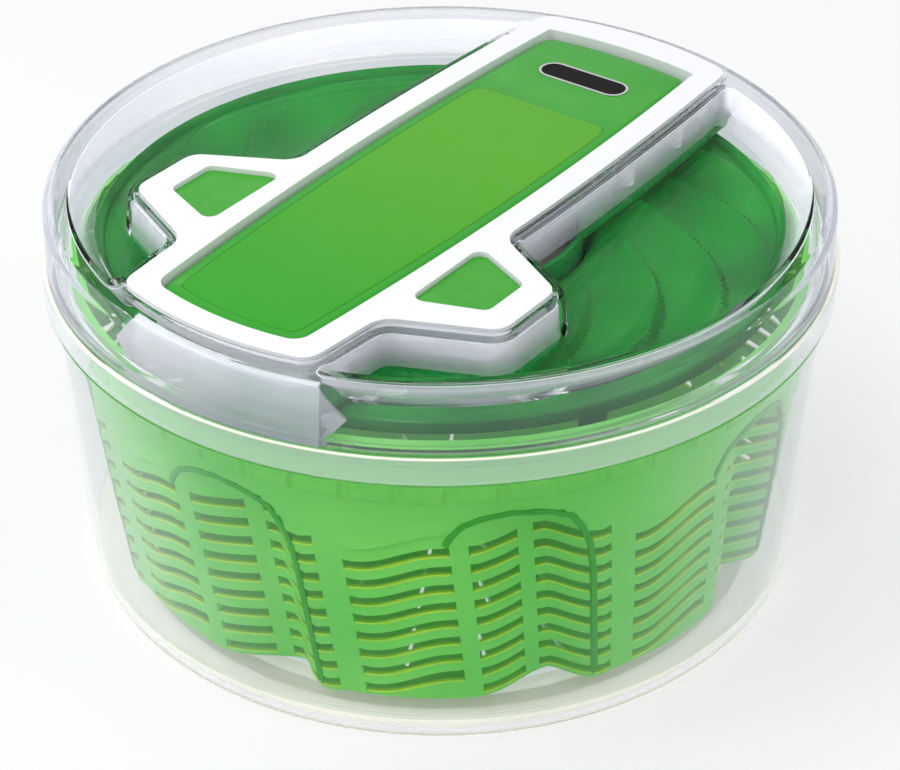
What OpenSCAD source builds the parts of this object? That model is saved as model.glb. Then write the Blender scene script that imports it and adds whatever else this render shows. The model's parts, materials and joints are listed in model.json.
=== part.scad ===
// Lever-driven salad spinner: a clear bowl, a slotted basket that turns in it, and a clear lid
// whose lever winds a one-way gear train down to the disc that carries the basket round.
// Origin at the centre of the base, +Z up, the lever lies along Y with its hinge at +Y.

/* [Bowl] */
// Outer radius of the collar round the mouth, the widest part
collar_r = 130; // [120:1:145]
// Height of the collar's top edge above the table
bowl_h = 120; // [112:1:140]
// Wall thickness of the bowl
bowl_wall = 2.4; // [1.6:0.1:3.2]
// Height of the collar band
collar_h = 9.5; // [7:0.5:13]
// How far the collar stands out from the wall below it
collar_step = 3; // [2:0.5:5]
// How far the wall leans in between the collar and the base
bowl_taper = 5; // [2:0.5:8]
// Radius of the rounded bottom edge
base_round = 9; // [6:0.5:12]
// Thickness of the bowl's floor
bowl_floor_t = 3; // [2.4:0.2:4]
// How far the foot ring lifts the bowl off the table
foot_lift = 0.8; // [0.4:0.1:1.5]
// Radius of the middle of the foot ring
foot_r = 104; // [90:1:108]
// Width of the foot ring
foot_w = 6; // [4:0.5:8]
// Radius of the pivot pin in the middle of the floor
pivot_r = 3.5; // [2.5:0.25:5]
// Height of the pivot pin above its boss
pivot_h = 9; // [6:0.5:12]

/* [Basket] */
// Gap between the basket's rim and the lid's lip
basket_gap = 2.4; // [1.5:0.1:4]
// Wall thickness of the basket
basket_wall = 2; // [1.4:0.1:2.8]
// Gap between the basket's floor and the bowl's wall
basket_base_gap = 8; // [5:0.5:16]
// Height of the basket's underside above the table
basket_z = 10; // [9:0.5:14]
// Drop from the top of the collar to the basket's rim
basket_drop = 8; // [6:0.5:10]
// Height of the plain band under the rim
band_h = 26; // [18:1:34]
// Number of valleys pressed into the wall
valley_count = 8; // [5:1:9]
// Depth of a valley
valley_depth = 9; // [5:0.5:11]
// Angle from a valley's gentle side to its bottom
valley_rise_deg = 14; // [10:1:18]
// Angle from a valley's bottom to its steep side
valley_fall_deg = 6; // [4:1:10]
// Number of slot rows in the wall
slot_rows = 8; // [5:1:10]
// Height of one slot
slot_h = 3.8; // [2.5:0.1:5]
// Width of an upright bar in the wall
bar_w = 5; // [3:0.5:7]
// Width of a drain slot in the floor
drain_w = 3.5; // [2.5:0.5:5]

/* [Lid] */
// Height of the rim's crest above the collar
rim_h = 17; // [14:0.5:22]
// Width of the rim from the collar's edge to the crest's inner line
rim_w = 11; // [9:0.5:15]
// Width of the flat crest
crest_w = 5.5; // [3:0.5:7]
// Depth of the sunken floor below the crest
recess_depth = 14; // [12:0.5:16]
// Run of the sloping wall between the crest and the sunken floor
slope_w = 9; // [6:0.5:12]
// Wall thickness of the lid
lid_wall = 2; // [1.6:0.1:2.6]
// Gap between the lid and the bowl
seat_gap = 0.2; // [0.1:0.1:0.4]
// Gap between the lid's lip and the inside of the bowl
lip_gap = 0.4; // [0.2:0.1:0.8]
// Length of the lip below the collar's top
lip_h = 7; // [5:0.5:9]

/* [Frame] */
// Half width of the frame's stem at its widest
frame_half_w = 42; // [41:0.5:46]
// Radius of the bowed sides of the stem and the lever
side_curve = 1400; // [1100:100:3000]
// Place along the stem where it is widest
side_mid = 15; // [0:1:30]
// Reach of a wing from the middle
wing_x = 72; // [68:0.5:78]
// Front root of the wings
wing_root_front = -82; // [-88:1:-78]
// Front corner of the wings' tips
wing_tip_front = -66.6; // [-70:0.2:-64]
// Rear corner of the wings' tips
wing_tip_rear = -39; // [-42:0.5:-34]
// Rear root of the wings
wing_root_rear = -22.5; // [-26:0.5:-16]
// Height of the frame's top above the rim's crest
frame_rise = 1; // [0.4:0.1:2]
// Thickness of the frame's flange
flange_t = 3; // [2.4:0.1:3.6]
// Wall thickness of the trough and the button wells
frame_wall = 2; // [1.4:0.1:2.4]
// Radius of the frame's outer corners
frame_round = 7; // [4:0.5:10]
// Radius of the blends where the wings meet the stem
frame_blend = 9; // [5:0.5:12]
// Width of the clear wall that surrounds the frame
surround_w = 3; // [2.4:0.1:4]

/* [Lever] */
// Half width of the lever at its widest
lever_half_w = 32; // [30:0.5:33]
// Gap between the lever and its trough
lever_gap = 1; // [0.6:0.1:1.4]
// Width of the frame in front of the lever
frame_front_w = 9; // [6:0.5:12]
// Depth of the lever's top below the frame's
lever_sink = 1.6; // [0:0.1:1.8]
// Wall thickness of the lever
lever_wall = 2.4; // [1.8:0.1:3]
// Distance of the hinge from the frame's rear end
hinge_inset = 20.5; // [20:0.5:24]
// Radius of the lever's rounded rear end about the hinge
nose_r = 6; // [5.5:0.25:6.25]
// Radius of the hinge pin
hinge_pin_r = 2; // [1.5:0.25:2.5]
// Angle through which the lever opens
lever_throw = 24; // [18:1:26]
// Width of the lever's plain border beside the pad
pad_inset = 4.5; // [3:0.5:8]
// Thickness of the pad
pad_t = 0.8; // [0.5:0.1:1.2]
// Distance of the pad's rear edge from the hinge
pad_inset_rear = 42.5; // [34:0.5:52]
// Length of the badge across the lever
badge_l = 35; // [28:1:40]
// Width of the badge
badge_w = 11; // [9:0.5:14]
// Distance of the badge from the hinge
badge_inset = 17.5; // [14.5:0.5:20.5]

/* [Buttons] */
// Inner edge of the buttons
button_in = 39.5; // [38.5:0.5:42]
// Outer edge of the buttons
button_out = 62; // [60:0.5:64]
// Gap round a button
button_gap = 0.4; // [0.2:0.1:0.6]
// How far the buttons lie below the frame's top
button_sink = 1.5; // [0.5:0.1:2]
// Thickness of a button's cap
button_t = 3; // [2.4:0.1:3.4]
// Travel of the brake button
brake_travel = 3; // [2:0.1:3.4]
// Travel of the lock button
lock_travel = 2.5; // [1.8:0.1:2.8]
// Radius of the brake shoe
shoe_r = 5; // [4:0.25:5.5]
// Height of the brake shoe
shoe_h = 3; // [2:0.25:4]

/* [Gears] */
// Module of every gear
gear_m = 1.25; // [1.1:0.05:1.3]
// Place of the idler shaft across the lever
idler_reach = 12.2; // [11.2:0.2:13.2]
// Teeth of the pinion that the rack drives
pinion_teeth = 10; // [9:1:11]
// Teeth of the crown gear
crown_teeth = 16; // [14:1:17]
// Teeth of the pinion that the crown gear drives
idler_pinion_teeth = 8; // [8:1:9]
// Teeth of the large upright gear
idler_teeth = 24; // [22:1:25]
// Teeth of the clutch gear
clutch_teeth = 16; // [16:1:17]
// Width of a gear
gear_w = 5; // [4:0.25:6]
// Radius of the cross shaft and the idler shaft
shaft_r = 2; // [1.5:0.25:2.25]
// Radius of the output shaft inside the clutch
clutch_shaft_r = 4; // [3.5:0.25:4.25]
// Radius of a clutch roller
roller_r = 1.5; // [1.25:0.05:1.55]
// Depth of the cross shaft below the hinge
shaft_drop = 9.5; // [9:0.25:11]
// Place of the curved rack across the lever
rack_x = -6; // [-8:0.5:-5]
// Running clearance of a shaft in its bore
run_gap = 0.05; // [0.02:0.01:0.08]

/* [Disc] */
// Gap between the disc's edge and the basket's wall
disc_gap = 4; // [3:0.5:5]
// Gap between the disc and the gearbox case
disc_clear = 0.8; // [0.5:0.1:1.2]
// Thickness of the disc
disc_t = 2.2; // [1.8:0.1:2.6]
// Height of the curved vanes on the disc
vane_h = 1.6; // [0.8:0.1:2]
// Number of curved vanes
vane_count = 12; // [8:1:16]
// Number of driving tabs on the disc
tab_count = 6; // [4:1:8]
// Width of a driving tab
tab_w = 8; // [6:0.5:12]

/* [Hidden] */
$fn = 64;
eps = 0.01;
big = 200;

// Bowl
wall_top_r = collar_r - collar_step;
base_r = wall_top_r - bowl_taper;
bowl_in_r = wall_top_r - bowl_wall;
bowl_floor_z = foot_lift + bowl_floor_t;
boss_r = pivot_r + 4.5;
boss_top_z = basket_z - 2;
foot_groove = 1.2;

// Lid profile
seat_z = bowl_h + seat_gap;
rim_z = bowl_h + rim_h;
crest_in_r = collar_r - rim_w;
crest_out_r = crest_in_r + crest_w;
skirt_r = collar_r - 1.2;
shoulder_r = skirt_r - 1.4;
shoulder_z = rim_z - 3;
recess_r = crest_in_r - slope_w;
floor_top_z = rim_z - recess_depth;
floor_bot_z = floor_top_z - lid_wall;
lip_out_r = bowl_in_r - lip_gap;
lip_in_r = lip_out_r - (lid_wall - 0.2);
lip_z = bowl_h - lip_h;
slope_t = 1.5;

// Basket: the upright bars' angles from a valley's bottom, and the drain slots in the floor
bar_degs = [-14, -3, 6.5, 11.5];
valley_turn = 10;
valley_out = 20;
slot_margin = 7;
drain_rows = 3;
drain_first = 12;
drain_more = 6;
drain_pitch = 30;
drain_l = 22;
basket_top_r = lip_in_r - basket_gap;
basket_base_r = base_r - bowl_wall - basket_base_gap;
basket_top_z = bowl_h - basket_drop;
band_z = basket_top_z - band_h;
basket_floor_t = basket_wall + 0.2;
wall_z = basket_z + basket_floor_t;
slot_pitch = (band_z - slot_margin - wall_z) / slot_rows;
function basket_r(z) =
    basket_base_r + (basket_top_r - basket_base_r) * (z - basket_z) / (basket_top_z - basket_z);

// Frame and lever heights
frame_z = rim_z + frame_rise;
flange_z = frame_z - flange_t;
lever_z = frame_z - lever_sink;
hinge_z = lever_z - nose_r;
frame_front_r = crest_in_r - 1.5;
frame_rear_r = crest_in_r + 2;
hinge_y = frame_rear_r - hinge_inset;
pad_rear = hinge_y - pad_inset_rear;
badge_y = hinge_y - badge_inset;
lever_front_r = frame_front_r - frame_front_w;
lever_rear_y = hinge_y + nose_r;
lever_rear_curve = 160;
lever_round = 5;
lever_under_z = lever_z - lever_wall;
trough_wall_x = lever_half_w + lever_gap;
rear_bow = side_x(0, hinge_y);
rear_corner_dy = nose_r - pow(lever_half_w, 2) / (2 * lever_rear_curve) - 1;
rear_gap = nose_r * sin(asin(rear_corner_dy / nose_r) + lever_throw) - rear_corner_dy + 0.4;
trough_out_x = trough_wall_x + frame_wall;
trough_floor_z = hinge_z - nose_r - 0.6;
trough_bot_z = trough_floor_z - 2;
lever_skirt_z = trough_floor_z + 2;
fit_gap = 0.3;
ledge_w = 2.2;
ledge_t = 2.4;
spring_pocket_x = 15;
spring_pocket_w = 9.4;
spring_end_gap = 0.7;
well_wall = frame_wall - 0.4;
ear_x0 = trough_wall_x + rear_bow;
ear_l = frame_half_w - 2.5 - trough_wall_x;
ear_r = hinge_pin_r + 2.5;
hinge_pin_end = frame_half_w + rear_bow - 3;
lever_spring_r = hinge_pin_r + 1.2;
lever_wire = 0.5;
spring_pocket_top = lever_spring_r + lever_wire + 0.4;
lever_spring_turns = 4.5;
lever_spring_leg = 13;
spring_pocket_y = hinge_y - lever_spring_leg - 1;
badge_rim_w = 0.9;
badge_sink = 1;

// Gearbox case
case_top_z = floor_bot_z;
case_t = 2;
case_bot_z = case_top_z - case_t;
disc_top_z = case_bot_z - disc_clear;

// Gear train: pitch radii, then the places that follow from them
add = 0.88 * gear_m;
ded = 1.15 * gear_m;
tooth_tip = 0.34 * gear_m;
tooth_root = 0.84 * gear_m;
tooth_bite = 0.3;
pinion_r = gear_m * pinion_teeth / 2;
crown_r = gear_m * crown_teeth / 2;
idler_pinion_r = gear_m * idler_pinion_teeth / 2;
idler_r = gear_m * idler_teeth / 2;
clutch_r = gear_m * clutch_teeth / 2;
cross_reach = sqrt(pow(idler_r + clutch_r, 2) - pow(idler_reach, 2));
rack_teeth = round(2 * (norm([hinge_y - cross_reach, shaft_drop]) - pinion_r) / gear_m);
rack_r = gear_m * rack_teeth / 2;
rack_back = 4.5;
rack_web_h = 4;
rack_screw_x = 6.5;
rack_pitch_deg = 360 / rack_teeth;
mesh_deg = asin(shaft_drop / (rack_r + pinion_r));
cross_y = hinge_y - (rack_r + pinion_r) * cos(mesh_deg);
cross_z = hinge_z - shaft_drop;
idler_x = sqrt(pow(idler_r + clutch_r, 2) - pow(cross_y, 2));
crown_x = idler_x + idler_pinion_r;
crown_out_r = crown_r + gear_m * 0.64;
crown_face_w = 1.6;
crown_root = 0.8 * gear_m;
crown_plate_t = 2.4;
crown_hub_wall = 1.6;
crown_hub_l = 3;
rack_steps = ceil(lever_throw / rack_pitch_deg) + 1;
rack_end_deg = mesh_deg + rack_pitch_deg * (rack_steps - 0.5);
rack_x0 = rack_x - gear_w / 2;

// Heights inside the gearbox
crown_bot_z = cross_z - crown_out_r;
idler_pinion_z = crown_bot_z - 1;
idler_pinion_h = crown_out_r - 4;
plate_top_z = idler_pinion_z - 1;
plate_t = 2.5;
plate_bot_z = plate_top_z - plate_t;
cap_t = 1;
gear_top_z = plate_bot_z - 0.5 - cap_t;
gear_bot_z = gear_top_z - gear_w;
cup_floor_z = hinge_z - (rack_r + add) * sin(rack_end_deg) - 1.5;
cup_wall = 2;
cup_bot_z = cup_floor_z - cup_wall;
cup_in_r = norm([rack_x0, hinge_y - (rack_r - rack_back) * cos(rack_end_deg)]) + 1.5;
cup_out_r = cup_in_r + cup_wall;
post_r = 3.2;
post_ring_r = cup_in_r - post_r - 0.6;
post_angles = [170, 270, 350];
idler_boss_r = 4;
bush_wall = 2.4;
bush_rise = 4;
bush_lip = 1.5;
plate_pivot_r = clutch_shaft_r - 1;
head_gap = 0.2;
output_r = clutch_shaft_r + 1;
pillar_t = 3;
pillar_half = 4;
cross_left_x = rack_x0 - 3;
crown_back_x = crown_x + ded + crown_plate_t;
cross_right_x = crown_back_x + 1.5;

// Dome over the gears, inside the hollow of the lever
dome_gap = 0.7;
dome_wall = 1.2;
dome_top_z = lever_under_z - 0.7;
dome_x0 = cross_left_x - pillar_t - dome_gap - 1;
dome_x1 = cross_right_x + pillar_t + dome_gap + 1;
dome_y0 = cross_y - crown_out_r - dome_gap;
dome_y1 = cross_y + crown_out_r + dome_gap;
rack_slot_x0 = rack_x0 - 0.8;
rack_slot_w = gear_w + 1.6;
rack_slot_y = hinge_y - rack_r - add - 0.9;
foot_y0 = dome_y1 + dome_wall + 4;
foot_l = 18;
foot_half = 10;
foot_t = 3;

// Disc
disc_r = basket_top_r - basket_wall - disc_gap;
dish_in_r = cup_out_r + 2;
dish_out_r = dish_in_r + disc_t;
disc_low_z = disc_top_z - vane_h - disc_t;
dish_top_z = cup_bot_z - 1.5;
dish_bot_z = dish_top_z - disc_t;
track_r = norm([(button_in + button_out) / 2, (wing_tip_front + wing_tip_rear) / 2]);
tab_h = 12;
tab_t = 3;
dog_t = 2.2;
dog_gap = 0.6;
dog_top_z = basket_top_z - 2;
tab_z = basket_top_z - 8;
disc_screw_r = 1.6;
disc_head_h = 2;
disc_rim_w = 4;
vane_curve_r = 60;
vane_w = 2;
vane_start = 12;
vane_shift = 38;

// Buttons
button_z = frame_z - button_sink;
button_bot_z = button_z - button_t;
button_front_in = wing_root_front + 13.5;
button_front_out = wing_tip_front + 6.6;
button_rear_out = wing_tip_rear - 3;
button_rear_in = wing_root_rear - 10;
button_x = (button_in + button_out) / 2;
button_y = (wing_tip_front + wing_tip_rear) / 2;
shoe_z = disc_top_z + brake_travel + 0.15;
brake_stem_r = 3.5;
brake_spring_r = shoe_r + 1.8;
brake_wire = 0.5;
bolt_half = 4;
bolt_z = trough_floor_z + 3;
bolt_h = 3;
latch_bow = side_x(0, button_y);
bolt_tip_x = trough_wall_x + latch_bow + 0.2;
bolt_gap = 0.2;
keeper_gap = 0.6;
cam_x = button_x - 1;
cam_half = 7;
cam_pin_r = 1;
cam_gap = 0.12;
cam_low_z = case_top_z + 1.2;
cam_pin_z = cam_low_z + lock_travel + 3.2;
cam_top_z = button_bot_z - lock_travel - 0.6;
cheek_t = 2;
lock_spring_r = 2.5;
lock_wire = 0.4;
lock_pin_r = 1.7;
lock_pin_l = 5;
lock_spring_y = bolt_half + fit_gap + cheek_t + lock_spring_r + lock_wire + 0.8;

// Fasteners
screw_r = 1.5;
screw_head_r = 2.8;
screw_head_h = 1.4;
screw_gap = 0.04;
frame_boss_r = 2.6;
frame_boss_bite = 0.6;
frame_boss_ys = [-96, 54, 86];
function frame_boss_x(y) = side_x(trough_out_x, y) + frame_boss_r - frame_boss_bite;
small_screw_r = 1.2;
small_head_r = 2.3;
small_head_h = 1.4;
screw_l = 8;

// ---------------------------------------------------------------- shared shapes

// A flat ring
module ring(r_out, r_in, h) {
    difference() {
        cylinder(r = r_out, h = h);
        translate([0, 0, -1]) cylinder(r = r_in, h = h + 2);
    }
}

// Extrudes a shape drawn in (y, z) along X from x0
module along_x(x0, length) {
    translate([x0, 0, 0]) rotate([90, 0, 90]) linear_extrude(length) children();
}

// A cylinder along X
module rod_x(x0, length, r, y, z) {
    translate([x0, y, z]) rotate([0, 90, 0]) cylinder(r = r, h = length);
}

// One gear tooth that points along +X, at pitch radius r
module tooth_2d(r) {
    foot_x = r - ded - tooth_bite;
    polygon([[foot_x, -tooth_root], [r + add, -tooth_tip], [r + add, tooth_tip],
        [foot_x, tooth_root]]);
}

// A spur gear; the first tooth's middle lies at angle phase
module spur_gear(teeth, h, bore, phase) {
    r = gear_m * teeth / 2;
    difference() {
        linear_extrude(h) {
            circle(r = r - ded);
            for (k = [0 : teeth - 1]) rotate(phase + 360 * k / teeth) tooth_2d(r);
        }
        translate([0, 0, -1]) cylinder(r = bore, h = h + 2);
    }
}

// Points of one ring of wire, for the coil below
function wire_ring(r, wire, a, z, sides) = [
    for (s = [0 : sides - 1])
        let (q = 360 * s / sides, rr = r + wire * cos(q))
            [rr * cos(a), rr * sin(a), z + wire * sin(q)]
];

// A wire coil that stands on z = 0 and reaches height h; straight legs run on from both ends
module coil(r, wire, turns, h, leg = 0) {
    sides = 8;
    per_turn = 14;
    count = turns * per_turn;
    rise = (h - 2 * wire) / count;
    last_deg = 360 * turns;
    body = [for (k = [0 : count]) wire_ring(r, wire, 360 * k / per_turn, wire + rise * k, sides)];
    first_leg = [for (p = body[0]) p - [0, leg, 0]];
    last_leg = [for (p = body[count]) p + leg * [-sin(last_deg), cos(last_deg), 0]];
    rings = leg > 0 ? concat([first_leg], body, [last_leg]) : body;
    last = len(rings) - 1;
    tube_faces = [
        for (k = [0 : last - 1], s = [0 : sides - 1])
            let (n = (s + 1) % sides)
                each [
                    [k * sides + s, (k + 1) * sides + s, (k + 1) * sides + n],
                    [k * sides + s, (k + 1) * sides + n, k * sides + n]
                ]
    ];
    start_face = [for (s = [0 : sides - 1]) s];
    end_face = [for (s = [sides - 1 : -1 : 0]) last * sides + s];
    polyhedron([for (one = rings) each one], concat([start_face, end_face], tube_faces));
}

// A screw that stands on its head at z = 0 and points up
module screw(r, head_r, head_h, length) {
    cylinder(r = head_r, h = head_h);
    cylinder(r = r, h = head_h + length);
}

// Copies a shape to both sides of the lever
module both_sides() {
    children();
    mirror([1, 0, 0]) children();
}

// ---------------------------------------------------------------- outlines

// How far from the middle a side that bows out to half_w lies at y
function side_x(half_w, y) =
    half_w - side_curve + sqrt(pow(side_curve, 2) - pow(y - side_mid, 2));

// The T-shaped frame, grown by g
module frame_2d(g = 0) {
    offset(r = frame_round + g, $fn = 48) offset(delta = -frame_round)
        offset(r = -frame_blend, $fn = 48) offset(delta = frame_blend) frame_blank_2d();
}

module frame_blank_2d() {
    stem_2d(frame_front_r, -1);
    stem_2d(frame_rear_r, 1);
    both_sides() polygon([[0, wing_root_front],
        [side_x(frame_half_w, wing_root_front), wing_root_front],
        [wing_x, wing_tip_front], [wing_x, wing_tip_rear],
        [side_x(frame_half_w, wing_root_rear), wing_root_rear], [0, wing_root_rear]]);
}

// A long strip whose sides bow out to half_w at their middle
module strip_2d(half_w) {
    intersection() {
        translate([half_w - side_curve, side_mid]) circle(r = side_curve, $fn = 720);
        translate([side_curve - half_w, side_mid]) circle(r = side_curve, $fn = 720);
    }
}

// Half of the frame's stem, ended by an arc of radius r; side is 1 at the rear, -1 in front
module stem_2d(r, side) {
    intersection() {
        circle(r = r, $fn = 180);
        translate([-big, side > 0 ? 0 : -big]) square([2 * big, big]);
        strip_2d(frame_half_w);
    }
}

// The lever's outline, grown by g
module lever_2d(g = 0) {
    offset(r = lever_round + g, $fn = 32) offset(delta = -lever_round)
        intersection() {
            strip_2d(lever_half_w);
            union() {
                intersection() {
                    circle(r = lever_front_r, $fn = 180);
                    translate([-big, -2 * big]) square([2 * big, 2 * big]);
                }
                intersection() {
                    translate([0, lever_rear_y - lever_rear_curve])
                        circle(r = lever_rear_curve, $fn = 180);
                    translate([-big, 0]) square([2 * big, 2 * big]);
                }
            }
        }
}

// One button's outline on the +X side, grown by g
module button_2d(g = 0) {
    offset(r = 3 + g, $fn = 24) offset(delta = -3)
        polygon([[button_in, button_front_in], [button_out, button_front_out],
            [button_out, button_rear_out], [button_in, button_rear_in]]);
}

// The badge's pill outline about its own middle, grown by g
module badge_2d(g = 0) {
    end_x = (badge_l - badge_w) / 2;
    square([2 * end_x, badge_w + 2 * g], center = true);
    for (s = [-1, 1]) translate([s * end_x, 0]) circle(d = badge_w + 2 * g);
}

// ---------------------------------------------------------------- bowl

module bowl_profile(inset, floor_z) {
    round_r = base_round - inset;
    polygon([[0, floor_z], [base_r - base_round, floor_z],
        [base_r - inset, floor_z + round_r], [wall_top_r - inset, bowl_h - collar_h],
        [wall_top_r - inset, bowl_h + (inset > 0 ? 1 : 0)], [0, bowl_h + (inset > 0 ? 1 : 0)]]);
    translate([base_r - base_round, floor_z + round_r]) intersection() {
        circle(r = round_r);
        translate([0, -big]) square([big, big]);
    }
}

module bowl() {
    color([0.9, 0.92, 0.95, 0.35]) {
        difference() {
            rotate_extrude($fn = 128) {
                bowl_profile(0, foot_lift);
                translate([wall_top_r - 1, bowl_h - collar_h]) square([collar_step + 1, collar_h]);
            }
            rotate_extrude($fn = 128) bowl_profile(bowl_wall, bowl_floor_z);
            translate([0, 0, foot_lift - 1]) ring(foot_r + foot_w / 2, foot_r - foot_w / 2,
                1 + foot_groove);
        }
        translate([0, 0, bowl_floor_z - 1]) cylinder(r = boss_r, h = boss_top_z - bowl_floor_z + 1);
        pivot_pin();
    }
}

// The pivot pin that the basket turns on
module pivot_pin() {
    translate([0, 0, boss_top_z - 1]) cylinder(r = pivot_r, h = pivot_h + 1);
}

module foot_ring() {
    color([0.93, 0.94, 0.95])
        ring(foot_r + foot_w / 2, foot_r - foot_w / 2, foot_lift + foot_groove);
}

// ---------------------------------------------------------------- basket

// Copies a shape to each valley
module valleys() {
    for (k = [0 : valley_count - 1]) rotate(360 * k / valley_count + valley_turn) children();
}

// One valley in a wall of outer radius r: a gentle side, the bottom on +X, and a steep side
module valley_2d(r, g) {
    deep = [r - valley_depth, 0];
    rise = r * [cos(valley_rise_deg), -sin(valley_rise_deg)] - deep;
    fall = r * [cos(valley_fall_deg), sin(valley_fall_deg)] - deep;
    offset(delta = g) polygon([deep, deep + 1.5 * rise, [r + valley_out, 0], deep + 1.5 * fall]);
}

// Outline of the wall at outer radius r, with every face moved in by inset
module wall_2d(r, inset) {
    difference() {
        circle(r = r - inset, $fn = 96);
        valleys() valley_2d(r, inset);
    }
}

module wall_ring_2d(r) {
    difference() {
        wall_2d(r, 0);
        wall_2d(r, basket_wall);
    }
}

// The upright bars beside and inside each valley
module bars_2d() {
    valleys() for (a = bar_degs) rotate(a) translate([0, -bar_w / 2]) square([big, bar_w]);
}

module basket_dogs() {
    dog_in_r = disc_r - tab_t;
    low_z = tab_z - 4;
    for (k = [0 : tab_count - 1], s = [-1, 1])
        rotate(360 * (k + 0.5) / tab_count)
            translate([dog_in_r, s * (tab_w / 2 + dog_gap + dog_t / 2) - dog_t / 2, low_z])
                cube([basket_r(low_z) - basket_wall / 2 - dog_in_r, dog_t, dog_top_z - low_z]);
}

module basket() {
    hub_r = boss_r;
    hub_z = boss_top_z + 0.1;
    hub_top_z = boss_top_z + pivot_h + 2.4;
    shelf_r = basket_r(band_z - slot_margin) - valley_depth - basket_wall - 1;
    color([0.36, 0.72, 0.32]) difference() {
        union() {
            for (k = [0 : slot_rows - 1]) {
                z = wall_z + slot_pitch * k;
                translate([0, 0, z - eps]) linear_extrude(slot_h + 2 * eps) intersection() {
                    wall_ring_2d(basket_r(z));
                    bars_2d();
                }
                translate([0, 0, z + slot_h]) linear_extrude(slot_pitch - slot_h)
                    wall_ring_2d(basket_r(z));
            }
            translate([0, 0, basket_z]) linear_extrude(basket_floor_t)
                wall_2d(basket_r(basket_z), 0);
            translate([0, 0, wall_z + slot_pitch * slot_rows - eps])
                linear_extrude(band_z - wall_z - slot_pitch * slot_rows + 2 * eps)
                    wall_ring_2d(basket_r(band_z - slot_margin));
            rotate_extrude($fn = 128) polygon([[shelf_r, band_z], [basket_r(band_z), band_z],
                [basket_top_r, basket_top_z], [basket_top_r - basket_wall, basket_top_z],
                [basket_r(band_z) - basket_wall, band_z + basket_wall],
                [shelf_r, band_z + basket_wall]]);
            basket_dogs();
            translate([0, 0, hub_z]) cylinder(r = hub_r, h = hub_top_z - hub_z);
        }
        translate([0, 0, hub_z - 1])
            cylinder(r = pivot_r + run_gap, h = boss_top_z + pivot_h + 0.4 - hub_z + 1);
        for (row = [0 : drain_rows - 1])
            let (count = drain_first + drain_more * row)
                for (k = [0 : count - 1])
                    rotate(360 * k / count)
                        translate([boss_r + 8 + drain_pitch * row, -drain_w / 2, basket_z - 1])
                            cube([drain_l, drain_w, basket_floor_t + 2]);
    }
}

// ---------------------------------------------------------------- lid

module lid_profile() {
    step_z = seat_z + lid_wall;
    polygon([[0, floor_bot_z], [0, floor_top_z], [recess_r, floor_top_z], [crest_in_r, rim_z],
        [crest_out_r, rim_z], [shoulder_r, shoulder_z], [skirt_r, seat_z], [lip_out_r, seat_z],
        [lip_out_r, lip_z], [lip_in_r, lip_z], [lip_in_r, step_z], [skirt_r - lid_wall, step_z],
        [shoulder_r - lid_wall, shoulder_z - 1], [crest_out_r - 1, rim_z - lid_wall],
        [crest_in_r + slope_t, rim_z - lid_wall], [recess_r + slope_t, floor_bot_z]]);
}

module lid_shell() {
    color([0.9, 0.92, 0.96, 0.3]) difference() {
        union() {
            rotate_extrude($fn = 128) lid_profile();
            translate([0, 0, floor_bot_z]) linear_extrude(rim_z - 0.5 - floor_bot_z) intersection() {
                difference() {
                    frame_2d(surround_w);
                    frame_2d(-ledge_w);
                }
                circle(r = crest_out_r - 0.3, $fn = 180);
            }
        }
        translate([0, 0, flange_z - 0.1]) linear_extrude(big) frame_2d(fit_gap);
        translate([0, 0, floor_bot_z - 1]) linear_extrude(big) frame_2d(-ledge_w);
        translate([0, 0, floor_bot_z - eps]) linear_extrude(flange_z - ledge_t - floor_bot_z)
            frame_2d(fit_gap);
    }
}

// The trough's outline, grown by g; its rear end leaves room for the lever's corners to swing
module trough_2d(g = 0) {
    lever_2d(lever_gap + g);
    intersection() {
        translate([-big, hinge_y - nose_r]) square([2 * big, big]);
        strip_2d(trough_wall_x + g);
        translate([0, lever_rear_y - lever_rear_curve])
            circle(r = lever_rear_curve + rear_gap + g, $fn = 180);
    }
}

module window_2d(g = 0) {
    both_sides() button_2d(button_gap + g);
}

// Bosses that the case screws go up into
module frame_bosses(r, z0, z1) {
    for (s = [-1, 1], y = frame_boss_ys)
        translate([s * frame_boss_x(y), y, z0]) cylinder(r = r, h = z1 - z0, $fn = 32);
}

module hinge_ears() {
    both_sides() rod_x(ear_x0, ear_l, ear_r, hinge_y, hinge_z);
}

module dome() {
    difference() {
        translate([dome_x0, dome_y0 - dome_wall, trough_bot_z])
            cube([dome_x1 - dome_x0, dome_y1 - dome_y0 + 2 * dome_wall, dome_top_z - trough_bot_z]);
        translate([dome_x0 + dome_wall, dome_y0, trough_bot_z - 1])
            cube([dome_x1 - dome_x0 - 2 * dome_wall, dome_y1 - dome_y0,
                dome_top_z - dome_wall - trough_bot_z + 1]);
    }
}

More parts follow.
